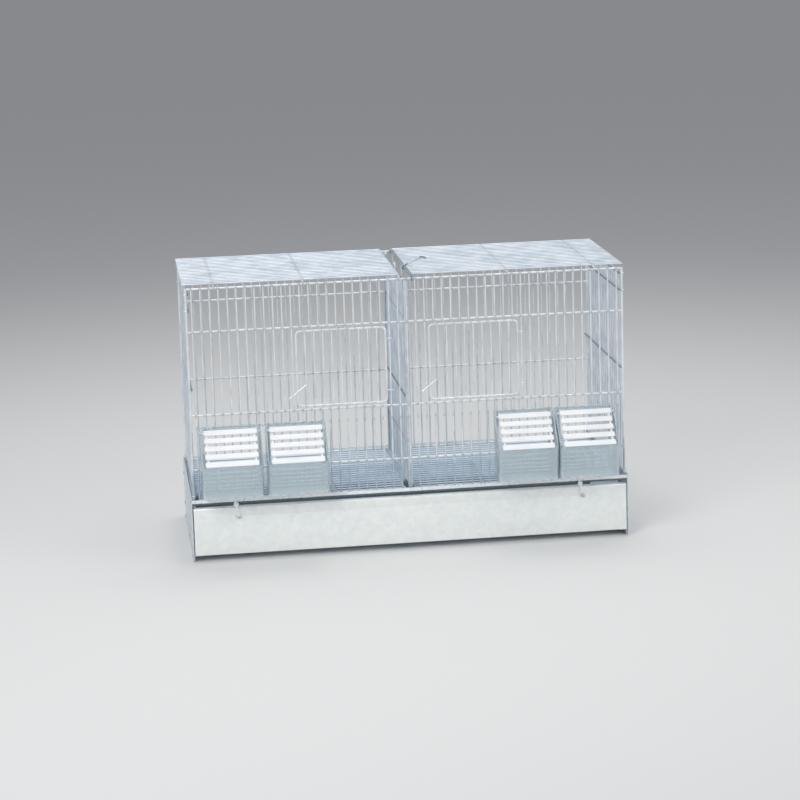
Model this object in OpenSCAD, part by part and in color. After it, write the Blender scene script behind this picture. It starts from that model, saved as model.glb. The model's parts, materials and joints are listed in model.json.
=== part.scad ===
// Canary breeding cage: a galvanised wire cage of two compartments on a sheet base,
// with a lift-out divider, a pull-out tray, a swing door in each compartment and
// four outside seed feeders with louvred covers. Millimetres, +Z up, front towards -Y.
// The origin is at the centre of the whole object's footprint, on the table.

/* [Cage] */
// Width of the cage over its corner eyes
cage_w = 600; // [560:5:700]
// Depth of the cage from its front rail to its back sheet
cage_d = 250; // [220:5:320]
// Height of the cage from the table to the roof wires
cage_h = 380; // [360:5:460]

/* [Wire] */
// Diameter of the bars
bar_d = 2.0; // [1.6:0.1:2.4]
// Diameter of the wires that cross the bars
cross_d = 2.6; // [2.2:0.1:3.0]
// Diameter of the upright wires at the four corners
post_d = 3.4; // [3.0:0.1:4.0]
// Spacing of the bars, centre to centre
bar_pitch = 12; // [11:0.5:13]
// Depth that two crossing wires sink into each other at a weld
weld = 0.3; // [0.2:0.05:0.4]
// Diameter of the wire in the eyes that hook one grille to the next
eye_wire_d = 1.8; // [1.4:0.1:2.2]
// Play of an eye on the wire it goes round
eye_play = 0.1; // [0.05:0.01:0.1]

/* [Levels of the front] */
// Height of the bottom wire
rim_h = 84.5; // [82:0.5:90]
// Height of the wire that the feeders hang on
feeder_rail_h = 127; // [120:1:135]
// Height of the wire over the feeder openings
feeder_head_h = 185; // [180:1:192]
// Height of the wire under the doors
door_sill_h = 202; // [198:1:210]
// Height of the wire over the doors
door_head_h = 316; // [280:1:330]

/* [Levels of the sides] */
// Height of the lower cross wire in each end
side_low_h = 238; // [200:1:260]
// Height of the upper cross wire in each end
side_high_h = 345; // [300:1:350]

/* [Roof and floor] */
// Width of the slot in the roof and floor that the divider goes through
slot_w = 14; // [12:1:18]
// Bar spaces from the middle to the middle depth wire of the roof, which lies in the next space
roof_mid = 11; // [6:1:14]
// Bar spaces from the middle to the middle depth wire of the floor, which lies in the next space
floor_mid = 8; // [6:1:14]
// Bar spaces from the middle to the outer depth wire of either, which lies in the next space
deck_far = 21; // [16:1:22]

/* [Doors] */
// Bar spaces from the middle of the cage to a door opening
door_from = 2; // [1:1:3]
// Bar spaces across a door opening
door_spaces = 11; // [8:1:12]
// Diameter of the wire round a door
door_wire_d = 3.0; // [2.9:0.1:3.2]
// Space from the frame of a door to the bars and wires round its opening
door_gap = 5.5; // [5:0.5:6]
// Radius of a door's corners, to the middle of the wire
door_corner_r = 6; // [4:1:8]
// Distance of each hinge eye from the top and bottom of a door
door_eye_inset = 16; // [12:1:24]
// Height of a door latch above the sill wire
latch_h = 26; // [20:1:40]
// Reach of a door latch to each side of the door's edge
latch_reach = 12; // [10:1:14]
// Drop of a door latch from its inner end to its outer end
latch_drop = 19; // [10:1:24]
// Diameter of a door latch's wire
latch_d = 1.8; // [1.6:0.1:2.2]

/* [Divider] */
// Diameter of the wire round the divider
divider_wire_d = 3.0; // [2.6:0.1:3.2]
// Height of the divider's lower cross wire
divider_low_h = 142; // [120:1:170]
// Height of the divider's middle cross wire
divider_mid_h = 206; // [190:1:240]
// Height of the divider's upper cross wire
divider_high_h = 316; // [280:1:340]
// Thickness of the sheet in the divider's guides
guide_t = 1.0; // [0.8:0.1:1.2]
// Depth of a guide's channel
guide_deep = 9; // [8:0.5:10]
// Play of the divider in its guides, all round
guide_play = 0.5; // [0.4:0.1:0.8]
// Radius of the finger loop on the divider, to the middle of its wire
pull_r = 8; // [7.5:0.5:9]

/* [Divider catch] */
// Diameter of the catch's wire
catch_wire_d = 1.8; // [1.6:0.1:2.0]
// Bar space, counted from the front, where the catch's eye sits
catch_space = 6; // [4:1:8]
// Distance that the catch reaches to the right of its eye
catch_reach = 30; // [20:1:40]
// Distance that the catch reaches back from its eye
catch_back = 60; // [30:1:70]
// Length of the catch's bent tip
catch_tip = 12; // [8:1:16]

/* [Base] */
// Thickness of the side and back sheets
sheet_t = 1.5; // [1.0:0.1:1.6]
// Height of the side and back sheets
sheet_h = 88; // [87:0.5:94]
// Radius of the lower corners of the side sheets
sheet_corner_r = 8; // [4:1:12]
// Height of the front rail
rail_h = 7; // [6:0.5:8]
// Thickness of the front rail
rail_t = 1.0; // [0.8:0.1:1.2]
// Length of the tabs that turn back from the ends of the front rail
rail_tab = 14; // [12:1:20]
// Width of the tabs that turn forward from the ends of the back sheet
back_tab = 12; // [10:1:16]
// Height of the lower rivet in a back tab
back_rivet_low = 22; // [18:1:30]
// Height of the upper rivet in a back tab
back_rivet_high = 66; // [50:1:68]
// Radius of a rivet's shank
rivet_r = 1.5; // [1.2:0.1:1.8]
// Radius of a rivet's head
rivet_head_r = 2.8; // [2.4:0.1:3.2]
// Height of a rivet's head
rivet_head_h = 0.9; // [0.7:0.1:1.2]

/* [Tray] */
// Height of the tray's underside above the table
tray_lift = 9.3; // [8:0.1:12]
// Height of the tray's front plate
tray_front_h = 65.7; // [60:0.1:66]
// Thickness of the tray's front plate
tray_front_t = 1.2; // [1.0:0.1:1.5]
// Width of the fold along the top of the front plate
tray_fold = 8; // [6:0.5:10]
// Outer radius of the bend along the top of the front plate
tray_bend_r = 2.4; // [2.0:0.1:3.0]
// Height of the hem turned up behind the foot of the front plate
tray_hem = 6; // [4:0.5:9]
// Thickness of the pan's sheet
pan_t = 1.0; // [0.8:0.1:1.2]
// Height of the pan's walls
pan_h = 58; // [40:1:60]
// Gap at each end of the front plate
tray_play = 1.2; // [0.8:0.1:2.0]
// Height of the pan's front wall
pan_front_h = 40; // [30:1:44]
// Height of the hem turned in along the top of the pan's other walls
pan_hem = 5; // [4:0.5:8]
// Distance of the pan's walls from the side sheets
pan_inset = 3.6; // [3.2:0.1:5]
// Height of the stiffening beads pressed up in the pan's floor
bead_h = 1.4; // [1.0:0.1:2.0]
// Width of a stiffening bead
bead_w = 12; // [8:1:16]
// Length of a stiffening bead
bead_len = 200; // [120:10:220]
// Width of a runner under the tray
runner_w = 10; // [8:1:14]
// Thickness of a runner's sheet
runner_t = 1.0; // [0.8:0.1:1.2]
// Height of a runner's upright leg
runner_leg = 7.5; // [7:0.1:7.6]
// Distance of the first and last runner rivets from the front and back
runner_rivet_in = 18; // [14:1:30]

/* [Tray catches] */
// Distance of each tray catch from the end of the cage
tray_catch_in = 64; // [50:1:100]
// Height of a tray catch's pivot above the table
tray_catch_h = 62; // [55:1:66]
// Length of a tray catch from its pivot to its tip
tray_catch_len = 23; // [20:0.5:25]
// Width of a tray catch
tray_catch_w = 3.6; // [3:0.1:5]
// Thickness of a tray catch
tray_catch_t = 1.2; // [0.8:0.1:1.4]
// Lean of a tray catch to the left, in degrees
tray_catch_lean = 12; // [5:1:15]
// Play of a tray catch's pin in the front plate
pin_play = 0.05; // [0.02:0.01:0.08]

/* [Feeders] */
// Bar spaces between an outer feeder opening and the last bar before the corner
feeder_corner = 1; // [1:1:2]
// Bar spaces across a feeder opening
feeder_spaces = 6; // [6:1:7]
// Gap between two neighbouring feeder boxes
feeder_gap = 2; // [1:0.5:4]
// Distance that the first feeder hangs to the left of the middle of its opening
feeder_shift = 4; // [0:0.5:4]
// Height of a feeder's underside above the table
feeder_low_h = 95; // [93:0.5:97]
// Depth of a feeder at its rim
feeder_deep = 42; // [36:1:48]
// Depth that a feeder's front wall leans in at its foot
feeder_lean = 5; // [2:0.5:8]
// Height of a feeder's front wall
feeder_front_h = 45.5; // [40:0.5:50]
// Height of a feeder's back
feeder_back_h = 92; // [88:0.5:94]
// Thickness of a feeder's walls
feeder_t = 1.8; // [1.4:0.1:2.2]
// Radius of a feeder's upright front corners
feeder_corner_r = 4; // [3:0.5:5]
// Width of the flange round a feeder's opening
feeder_flange = 7; // [6:0.5:8]
// Depth of the ledge along the top of a feeder
feeder_ledge = 4; // [3.5:0.5:5]
// Width of the lip that hooks a feeder over its rail wire
feeder_lip_w = 60; // [40:1:60]

/* [Feeder covers] */
// Width that the clear cheeks show beside a cover
cover_margin = 5.5; // [4:0.5:7]
// Slats in a cover
cover_slats = 5; // [4:1:6]
// Thickness of a slat
slat_t = 1.5; // [1.2:0.1:1.8]
// Rise of a slat's lower edge over its upper edge
slat_rise = 1.2; // [0.8:0.1:1.6]
// Gap between two slats
slat_gap = 3.6; // [2.4:0.1:4.2]
// Radius of a slat's corners
slat_corner_r = 2; // [1.5:0.1:2.5]
// Width of the stiles that carry the slats
stile_w = 3; // [2.5:0.1:4]
// Distance of the stiles from the ends of the slats
stile_in = 2; // [1:0.5:3]
// Radius of a cover's hinge pins
cover_pin_r = 1.5; // [1.2:0.1:1.7]
// Depth of the hinge pins under the sloping edge of a feeder
cover_pin_deep = 3.4; // [3.2:0.1:4]
// Distance of the hinge pins from the top of the sloping edge
cover_pin_back = 8; // [7.5:0.5:10]
// Length that a cover laps over the feeder's front wall
cover_lap = 1.0; // [0.5:0.1:2]
// Thickness of the stiles
stile_t = 2.4; // [2.0:0.1:2.8]
// Radius of the ears that carry the hinge pins
cover_ear_r = 2.4; // [2.2:0.1:2.8]

/* [Hidden] */
$fn = 32;

// Colours
zinc = [0.80, 0.84, 0.86];
sheet_zinc = [0.72, 0.77, 0.80];
tray_zinc = [0.86, 0.89, 0.87];
clear_blue = [0.70, 0.80, 0.88, 0.6];
white = [0.96, 0.97, 0.97];

// Small distances
rest_gap = 0.3;     // space between a piece and the seat it rests on
sheet_seat = 0.05;  // space between two riveted sheets
past = 1;           // overshoot of a cut past a face

// Shares of a radius
crown = 0.7;     // of a rivet head, at its crown
stem = 0.85;     // of an eye's wire, where it joins a door
neck = 0.95;     // of the divider catch's wire, in its upright neck
knuckle = 1.05;  // of the divider catch's wire, where it bends

// Radii
bar_r = bar_d / 2;
cross_r = cross_d / 2;
post_r = post_d / 2;
eye_r = eye_wire_d / 2;
door_wire_r = door_wire_d / 2;
divider_wire_r = divider_wire_d / 2;
latch_r = latch_d / 2;
catch_r = catch_wire_d / 2;

// A wire that crosses the bars lies this far from their plane
cross_step = bar_r + cross_r - weld;
// A wire that ends in an eye lies this far from the wire that the eye goes round
post_step = post_r + eye_play + cross_r;
rim_step = cross_r + eye_play + cross_r;
// The corner posts stand in from the cage's outside by the reach of an eye, or by as much
// as keeps them clear of the front rail's tabs if that is more
corner_inset = max(post_r + eye_play + 2 * eye_r,
  sheet_t + sheet_seat + rail_t + rest_gap + post_r);

// A feeder's sloping edge, in a plane across the feeder: its length and angle
slope_run = [feeder_deep - feeder_ledge, feeder_back_h - feeder_front_h];
slope_len = norm(slope_run);
slope_angle = atan2(slope_run[1], slope_run[0]);

// The feeders stand out in front, so the cage sits back from the footprint's centre.
// The lowest slat's round nose reaches furthest
feeder_seat = corner_inset - bar_r - rest_gap;   // back of a feeder, from the front rail
slat_r = slat_t / 2;
cover_out = (cover_lap - slat_r) * cos(slope_angle)
  + (rest_gap + slat_rise + slat_r) * sin(slope_angle) + slat_r;
feeder_out = feeder_deep + cover_out - feeder_seat;
front_y = -(cage_d + feeder_out) / 2 + feeder_out;
back_y = front_y + cage_d;
front_bars_y = front_y + corner_inset;
back_bars_y = back_y - corner_inset;
front_cross_y = front_bars_y + cross_step;
back_cross_y = back_bars_y - cross_step;
post_x = cage_w / 2 - corner_inset;
side_cross_x = post_x - post_step;
side_bars_x = side_cross_x + cross_step;

// Heights
roof_bars_z = cage_h - bar_r;
roof_cross_z = roof_bars_z - cross_step;
top_wire_z = roof_cross_z - rim_step;
floor_cross_z = rim_h - rim_step;
floor_bars_z = floor_cross_z + cross_step;

// The front bars stand at whole numbers of spaces from the middle
last_bar = floor((post_x - bar_pitch / 2) / bar_pitch);
outer_to = last_bar - feeder_corner;
outer_from = outer_to - feeder_spaces;
feeder_to = outer_from - 1;
feeder_from = feeder_to - feeder_spaces;
door_to = door_from + door_spaces;

// The middles of the four feeder openings, and of the feeders, from left to right
opening_mids = [feeder_from, outer_from] + feeder_spaces / 2 * [1, 1];
opening_x = bar_pitch * [-opening_mids[1], -opening_mids[0], opening_mids[0], opening_mids[1]];
feeder_x = opening_x - [feeder_shift, 0, 0, 0];

// Evenly spaced places between two ends, as near to the bar spacing as they come
function places(from, to) = let (n = round((to - from) / bar_pitch))
  [for (i = [1:n - 1]) from + i * (to - from) / n];
depth_places = places(front_bars_y, back_bars_y);

// ---- wires ----------------------------------------------------------------

// A straight wire between two points; seam turns the seam of its surface about the wire,
// so that it lies clear of the wires that cross it
module wire(from, to, r, seam = 0) {
  run = to - from;
  len = norm(run);
  turn = atan2(run[1], run[0]);
  tilt = acos(run[2] / len);
  translate(from) rotate([0, tilt, turn]) rotate([0, 0, seam]) cylinder(h = len, r = r);
}

// A ring of wire round the Z axis, with a hole of radius hole_r and its seam at 45 degrees
module eye(hole_r) {
  rotate([0, 0, 45]) rotate_extrude() translate([hole_r + eye_r, 0]) circle(eye_r);
}

// A wire bent through a quarter turn, from the +X side to the +Y side of its centre
module bend(radius, r) {
  rotate_extrude(angle = 90) translate([radius, 0]) circle(r);
}

// A rectangle of wire with round corners, standing in the XZ plane
module wire_frame(x0, x1, z0, z1, corner, r) {
  for (x = [x0, x1]) wire([x, 0, z0 + corner], [x, 0, z1 - corner], r);
  for (z = [z0, z1]) wire([x0 + corner, 0, z], [x1 - corner, 0, z], r);
  for (right = [0, 1], up = [0, 1])
    translate([right ? x1 - corner : x0 + corner, 0, up ? z1 - corner : z0 + corner])
      rotate([90, 0, 0]) rotate([0, 0, right ? (up ? 0 : 270) : (up ? 90 : 180)])
        bend(corner, r);
}

// ---- grilles --------------------------------------------------------------

// True when bar k has the opening between its neighbours
function inside(k, from, to) = abs(k) > from && abs(k) < to;

// The heights between which front bar k runs, as pairs
function spans(k) = let (
    feeder = inside(k, feeder_from, feeder_to) || inside(k, outer_from, outer_to),
    door = inside(k, door_from, door_to),
    low = rim_h, top = top_wire_z)
  feeder && door ? [[low, feeder_rail_h], [feeder_head_h, door_sill_h], [door_head_h, top]]
  : feeder ? [[low, feeder_rail_h], [feeder_head_h, top]]
  : door ? [[low, door_sill_h], [door_head_h, top]]
  : [[low, top]];

module front_grille() {
  color(zinc) {
    for (k = [-last_bar:last_bar], span = spans(k))
      translate([k * bar_pitch, front_bars_y, span[0] - cross_r])
        cylinder(h = span[1] - span[0] + 2 * cross_r, r = bar_r);
    for (z = [rim_h, feeder_rail_h, door_sill_h, door_head_h, top_wire_z])
      wire([-post_x, front_cross_y, z], [post_x, front_cross_y, z], cross_r);
    for (head = [[-outer_to, -feeder_from], [feeder_from, outer_to]])
      wire([head[0] * bar_pitch - bar_r, front_cross_y, feeder_head_h],
        [head[1] * bar_pitch + bar_r, front_cross_y, feeder_head_h], cross_r);
    for (side = [-1, 1])
      translate([side * post_x, front_bars_y, rim_h - cross_r])
        cylinder(h = top_wire_z - rim_h + 2 * cross_r, r = post_r);
  }
}

module back_grille() {
  color(zinc) {
    for (k = [-last_bar:last_bar])
      translate([k * bar_pitch, back_bars_y, rim_h - cross_r])
        cylinder(h = top_wire_z - rim_h + 2 * cross_r, r = bar_r);
    for (z = [rim_h, door_sill_h, door_head_h, top_wire_z])
      wire([-post_x, back_cross_y, z], [post_x, back_cross_y, z], cross_r);
    for (side = [-1, 1])
      translate([side * post_x, back_bars_y, rim_h - cross_r])
        cylinder(h = top_wire_z - rim_h + 2 * cross_r, r = post_r);
  }
}

// The right-hand half of the cage is drawn; this turns it to the side that side says
module on_side(side) {
  mirror([side < 0 ? 1 : 0, 0, 0]) children();
}

// One end of the cage, hooked to the corner posts
module side_grille(side) {
  low = rim_h + 3 * cross_d;
  top = top_wire_z - 2.5 * cross_d;
  color(zinc) on_side(side) {
    for (y = depth_places)
      translate([side_bars_x, y, low - cross_d]) cylinder(h = top - low + 2 * cross_d, r = bar_r);
    for (z = [low, side_low_h, side_high_h, top]) {
      wire([side_cross_x, front_bars_y - eye_wire_d, z],
        [side_cross_x, back_bars_y + eye_wire_d, z], cross_r);
      for (y = [front_bars_y, back_bars_y])
        translate([post_x, y, z]) eye(post_r + eye_play);
    }
  }
}

// A roof or floor panel from the slot to the end of the cage, with its bars at bars_z
// and its depth wires at cross_z, hooked to the wires at edge_z of the front and back. The
// middle depth wire lies in the space after mid spaces
module deck(side, mid, bars_z, cross_z, edge_z, reach) {
  near_x = slot_w / 2 + cross_r;
  color(zinc) on_side(side) {
    for (x = [near_x, (mid + 0.5) * bar_pitch, (deck_far + 0.5) * bar_pitch]) {
      wire([x, front_cross_y - eye_r - weld, cross_z],
        [x, back_cross_y + eye_r + weld, cross_z], cross_r, 90);
      for (y = [front_cross_y, back_cross_y])
        translate([x, y, edge_z]) rotate([0, 90, 0]) eye(cross_r + eye_play);
    }
    for (y = depth_places)
      wire([near_x - cross_r / 2, y, bars_z], [reach, y, bars_z], bar_r, 90);
  }
}

module roof_grille(side) {
  deck(side, roof_mid, roof_bars_z, roof_cross_z, top_wire_z, cage_w / 2 - bar_r);
}

module floor_grille(side) {
  deck(side, floor_mid, floor_bars_z, floor_cross_z, rim_h, side_cross_x - cross_r - bar_d);
}

// ---- base -----------------------------------------------------------------

// Rivets through a side sheet, as [distance from the front, height]
rail_mid_z = rim_h - cross_r;
rail_rivet = [corner_inset + post_r + rest_gap + rivet_head_r, rail_mid_z];
runner_top_z = tray_lift - rest_gap;
runner_rivet_z = runner_top_z - runner_t - rivet_head_r - sheet_seat;
runner_rivets = [for (i = [0:2])
  [runner_rivet_in + i * (cage_d / 2 - runner_rivet_in), runner_rivet_z]];
back_rivets = [for (z = [back_rivet_low, back_rivet_high])
  [cage_d - sheet_t - back_tab / 2, z]];
side_rivets = concat([rail_rivet], runner_rivets, back_rivets);

// Inner face of the sheets that are riveted inside the side sheets, from the middle
inner_x = cage_w / 2 - sheet_t - sheet_seat;

// A hole along the X axis, at one end of the cage, for each rivet in a list
module rivet_holes(rivets) {
  for (at = rivets)
    translate([inner_x - 2 * rail_t, front_y + at[0], at[1]])
      rotate([0, 90, 0]) cylinder(h = 2 * rail_t + 2 * sheet_t, r = rivet_r + pin_play);
}

module base_side(side) {
  low = sheet_corner_r;
  color(sheet_zinc) on_side(side) difference() {
    translate([cage_w / 2 - sheet_t, 0, 0]) {
      translate([0, front_y + low, 0]) cube([sheet_t, cage_d - 2 * low, sheet_h]);
      translate([0, front_y, low]) cube([sheet_t, cage_d, sheet_h - low]);
      for (y = [front_y + low, back_y - low])
        translate([0, y, low]) rotate([0, 90, 0]) cylinder(h = sheet_t, r = low);
    }
    rivet_holes(side_rivets);
  }
}

module base_back() {
  tab_h = floor_cross_z - cross_r - eye_wire_d;
  color(sheet_zinc) difference() {
    union() {
      translate([-inner_x, back_y - sheet_t, 0]) cube([2 * inner_x, sheet_t, sheet_h]);
      for (side = [-1, 1]) on_side(side)
        translate([inner_x - rail_t, back_y - sheet_t - back_tab, 0])
          cube([rail_t, back_tab + sheet_t, tab_h]);
    }
    for (side = [-1, 1]) on_side(side) rivet_holes(back_rivets);
  }
}

module front_rail() {
  low = rail_mid_z - rail_h / 2;
  color(sheet_zinc) difference() {
    union() {
      translate([-inner_x, front_y, low]) cube([2 * inner_x, rail_t, rail_h]);
      for (side = [-1, 1]) on_side(side)
        translate([inner_x - rail_t, front_y, low]) cube([rail_t, rail_t + rail_tab, rail_h]);
    }
    for (side = [-1, 1]) on_side(side) rivet_holes([rail_rivet]);
  }
}

module base_rivets() {
  stack = sheet_t + sheet_seat + rail_t;
  color(zinc) for (side = [-1, 1], at = side_rivets) on_side(side)
    translate([cage_w / 2 - stack, front_y + at[0], at[1]]) rotate([0, 90, 0]) {
      translate([0, 0, -rivet_head_h - sheet_seat])
        cylinder(h = stack + 2 * (rivet_head_h + sheet_seat), r = rivet_r);
      translate([0, 0, -rivet_head_h - sheet_seat]) cylinder(h = rivet_head_h, r = rivet_head_r);
      translate([0, 0, stack + sheet_seat])
        cylinder(h = rivet_head_h, r1 = rivet_head_r, r2 = rivet_head_r * crown);
    }
}

module tray_runner(side) {
  front = front_y + sheet_corner_r / 2;
  long = cage_d - sheet_t - back_tab - sheet_corner_r / 2 - rest_gap;
  color(sheet_zinc) on_side(side) difference() {
    union() {
      translate([inner_x - runner_w, front, runner_top_z - runner_t])
        cube([runner_w, long, runner_t]);
      translate([inner_x - rail_t, front, runner_top_z - runner_leg])
        cube([rail_t, long, runner_leg]);
    }
    rivet_holes(runner_rivets);
  }
}

// ---- tray -----------------------------------------------------------------

// An outline with two round ends, from the origin along +X
module strap(len, width) {
  translate([0, -width / 2]) square([len, width]);
  for (x = [0, len]) translate([x, 0]) circle(width / 2);
}

// Where the tray catches turn, on the front plate
tray_catch_xs = [tray_catch_in - cage_w / 2, cage_w / 2 - tray_catch_in];

// The pan stands against the hem of the front plate. Its side and back walls have a hem
// turned in along the top, and its floor has beads pressed up from below
module tray_pan() {
  half = cage_w / 2 - sheet_t - pan_inset;
  front = front_y + 2 * tray_front_t + sheet_seat;
  back = back_y - sheet_t - rest_gap;
  long = back - front;
  bead_mid_x = half / 2;
  color(tray_zinc) translate([0, front, tray_lift]) difference() {
    union() {
      difference() {
        translate([-half, 0, 0]) cube([2 * half, long, pan_h]);
        translate([pan_t - half, pan_t, pan_t])
          cube([2 * (half - pan_t), long - 2 * pan_t, pan_h - pan_hem - pan_t]);
        translate([2 * pan_t - half, pan_t, pan_t])
          cube([2 * half - 4 * pan_t, long - 3 * pan_t, pan_h]);
        translate([-half - past, -past, pan_front_h])
          cube([2 * (half + past), past + pan_t, pan_h]);
      }
      for (x = [-bead_mid_x, bead_mid_x], y = [long / 3, 2 * long / 3])
        translate([x - bead_len / 2, y, 0]) linear_extrude(pan_t + bead_h) strap(bead_len, bead_w);
    }
    for (x = [-bead_mid_x, bead_mid_x], y = [long / 3, 2 * long / 3])
      translate([x - bead_len / 2, y, -past]) linear_extrude(past + bead_h)
        strap(bead_len, bead_w - 2 * pan_t);
  }
}

// The front plate's section in the YZ plane, from its foot: a hem closed by a round bend,
// the plate, and a bend into the fold along the top
module tray_front_section() {
  translate([tray_front_t, tray_front_t]) circle(tray_front_t);
  translate([0, tray_front_t]) square([2 * tray_front_t, tray_hem - tray_front_t]);
  translate([0, tray_front_t]) square([tray_front_t, tray_front_h - tray_front_t - tray_bend_r]);
  translate([tray_bend_r, tray_front_h - tray_bend_r]) intersection() {
    difference() {
      circle(tray_bend_r);
      circle(tray_bend_r - tray_front_t);
    }
    translate([-tray_bend_r, 0]) square(tray_bend_r);
  }
  translate([tray_bend_r, tray_front_h - tray_front_t])
    square([tray_fold - tray_bend_r, tray_front_t]);
}

module tray_front() {
  color(tray_zinc) difference() {
    translate([0, front_y, tray_lift])
      across(cage_w - 2 * (sheet_t + tray_play)) tray_front_section();
    for (x = tray_catch_xs) translate([x, front_y - past, tray_catch_h])
      rotate([-90, 0, 0]) cylinder(h = tray_front_t + 2 * past, r = rivet_r + pin_play);
  }
}

// A flat catch that turns on its rivet in the front plate
module tray_catch(x) {
  color(white) translate([x, front_y, tray_catch_h]) rotate([0, -tray_catch_lean, 0]) {
    translate([0, -rest_gap, 0]) rotate([90, -90, 0])
      linear_extrude(tray_catch_t) strap(tray_catch_len, tray_catch_w);
    rotate([-90, 0, 0]) {
      translate([0, 0, -rest_gap - tray_catch_t - rivet_head_h / 2])
        cylinder(h = rest_gap + tray_catch_t + tray_front_t + rivet_head_h, r = rivet_r);
      translate([0, 0, -rest_gap - tray_catch_t - rivet_head_h])
        cylinder(h = rivet_head_h, r1 = rivet_head_r * crown, r2 = rivet_head_r);
      translate([0, 0, tray_front_t + rest_gap]) cylinder(h = rivet_head_h, r = rivet_head_r);
    }
  }
}

// ---- divider --------------------------------------------------------------

guide_low_z = rim_h + cross_r;
guide_half = divider_wire_r + guide_play + guide_t;
guide_front_y = front_cross_y + cross_r + sheet_seat;   // outer face of the front guide
guide_back_y = back_cross_y - cross_r - sheet_seat;     // outer face of the back guide
divider_in = guide_t + guide_play + divider_wire_r;     // a guide's outer face to the divider's edge wire
divider_front_y = guide_front_y + divider_in;
divider_back_y = guide_back_y - divider_in;
divider_low_z = guide_low_z + guide_t + rest_gap + divider_wire_r;
divider_top_z = cage_h - pull_r - divider_wire_d;
divider_places = places(divider_front_y, divider_back_y);

// A channel with a foot, open towards +Y, with its outer face in the XZ plane
module divider_guide() {
  tall = top_wire_z - guide_low_z;
  color(sheet_zinc) difference() {
    translate([-guide_half, 0, 0]) cube([2 * guide_half, guide_deep, tall]);
    translate([guide_t - guide_half, guide_t, guide_t])
      cube([2 * (guide_half - guide_t), guide_deep, tall]);
  }
}

module divider_guide_front() {
  translate([0, guide_front_y, guide_low_z]) divider_guide();
}

module divider_guide_back() {
  translate([0, guide_back_y, guide_low_z]) mirror([0, 1, 0]) divider_guide();
}

module divider_grille() {
  first = divider_places[0];
  last = divider_places[len(divider_places) - 1];
  color(zinc) {
    rotate([0, 0, 90]) wire_frame(divider_front_y, divider_back_y, divider_low_z, divider_top_z,
      2 * divider_wire_d, divider_wire_r);
    for (y = divider_places) wire([0, y, divider_low_z], [0, y, divider_top_z], bar_r);
    for (z = [divider_low_h, divider_mid_h, divider_high_h])
      wire([cross_step, first - cross_d, z], [cross_step, last + cross_d, z], cross_r);
    translate([0, (divider_front_y + divider_back_y) / 2, divider_top_z])
      rotate([90, 0, 90]) rotate_extrude(angle = 180) translate([pull_r, 0]) circle(cross_r);
  }
}

// A wire hook that lies on the roof and flips over the slot
module divider_catch() {
  eye_x = slot_w / 2 + cross_r;
  eye_y = (depth_places[catch_space - 1] + depth_places[catch_space]) / 2;
  arm_x = eye_x + cross_r + eye_play + eye_r;
  arm_z = cage_h + rest_gap + catch_r;
  far = [arm_x + catch_reach, eye_y + catch_back, arm_z];
  tip = far + [catch_tip / 3, -catch_tip, 0];
  color(zinc) {
    translate([eye_x, eye_y, roof_cross_z]) rotate([90, 0, 0]) eye(cross_r + eye_play);
    wire([arm_x, eye_y, roof_cross_z], [arm_x, eye_y, arm_z], catch_r * neck);
    wire([arm_x, eye_y, arm_z], far, catch_r);
    wire(far, tip, catch_r);
    for (at = [[arm_x, eye_y, arm_z], far, tip]) translate(at) sphere(catch_r * knuckle);
  }
}

// ---- doors ----------------------------------------------------------------

// A door between two bars, which swings on the right-hand one
module door(left_x, hinge_x) {
  x0 = left_x + door_gap;
  x1 = hinge_x - door_gap;
  z0 = door_sill_h + door_gap;
  z1 = door_head_h - door_gap;
  latch_z = door_sill_h + latch_h;
  color(zinc) translate([0, front_bars_y, 0]) {
    wire_frame(x0, x1, z0, z1, door_corner_r, door_wire_r);
    for (x = places(x0, x1)) wire([x, 0, z0], [x, 0, z1], bar_r);
    for (z = [z0 + door_eye_inset, z1 - door_eye_inset]) {
      translate([hinge_x, 0, z]) eye(bar_r + eye_play);
      wire([x1, 0, z], [hinge_x - bar_r - eye_play - eye_r, 0, z], eye_r * stem);
    }
    translate([x0, weld - door_wire_r - latch_r, latch_z])
      wire([-latch_reach, 0, -latch_drop / 2], [latch_reach, 0, latch_drop / 2], latch_r);
  }
}

module door_left() {
  door(-door_to * bar_pitch, -door_from * bar_pitch);
}

module door_right() {
  door(door_from * bar_pitch, door_to * bar_pitch);
}

// ---- feeders --------------------------------------------------------------

// A feeder's own frame: X across it, Y = 0 at its back, Z = 0 at its underside
feeder_w = (feeder_spaces + 1) * bar_pitch - feeder_gap;
cover_w = feeder_w - 2 * cover_margin;
cover_len = cover_lap + slope_len - cover_pin_back + cover_ear_r;
lean_angle = atan2(feeder_lean, feeder_front_h);
module at_feeder(x) {
  translate([x, front_y + feeder_seat, feeder_low_h]) children();
}

// Along a feeder's sloping edge: Y up the slope from the front wall, Z out of the slope
module on_slope() {
  translate([0, -feeder_deep, feeder_front_h]) rotate([slope_angle, 0, 0]) children();
}

// An outline in the YZ plane, drawn across a width about the middle
module across(width) {
  translate([-width / 2, 0, 0]) rotate([90, 0, 90]) linear_extrude(width) children();
}

// A feeder's side and front walls, filled, with their faces moved in by inset. It leans with
// the front wall, whose two corners are round, and reaches past the feeder's other faces
module feeder_walls(inset) {
  half = feeder_w / 2 - inset;
  r = feeder_corner_r - inset;
  translate([0, feeder_lean - feeder_deep, 0]) rotate([lean_angle, 0, 0])
    translate([0, inset, -feeder_deep]) linear_extrude(2 * feeder_back_h) {
      translate([-half, r]) square([2 * half, 2 * feeder_deep]);
      translate([r - half, 0]) square([2 * (half - r), 2 * r]);
      for (x = [r - half, half - r]) translate([x, r]) circle(r);
    }
}

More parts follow.
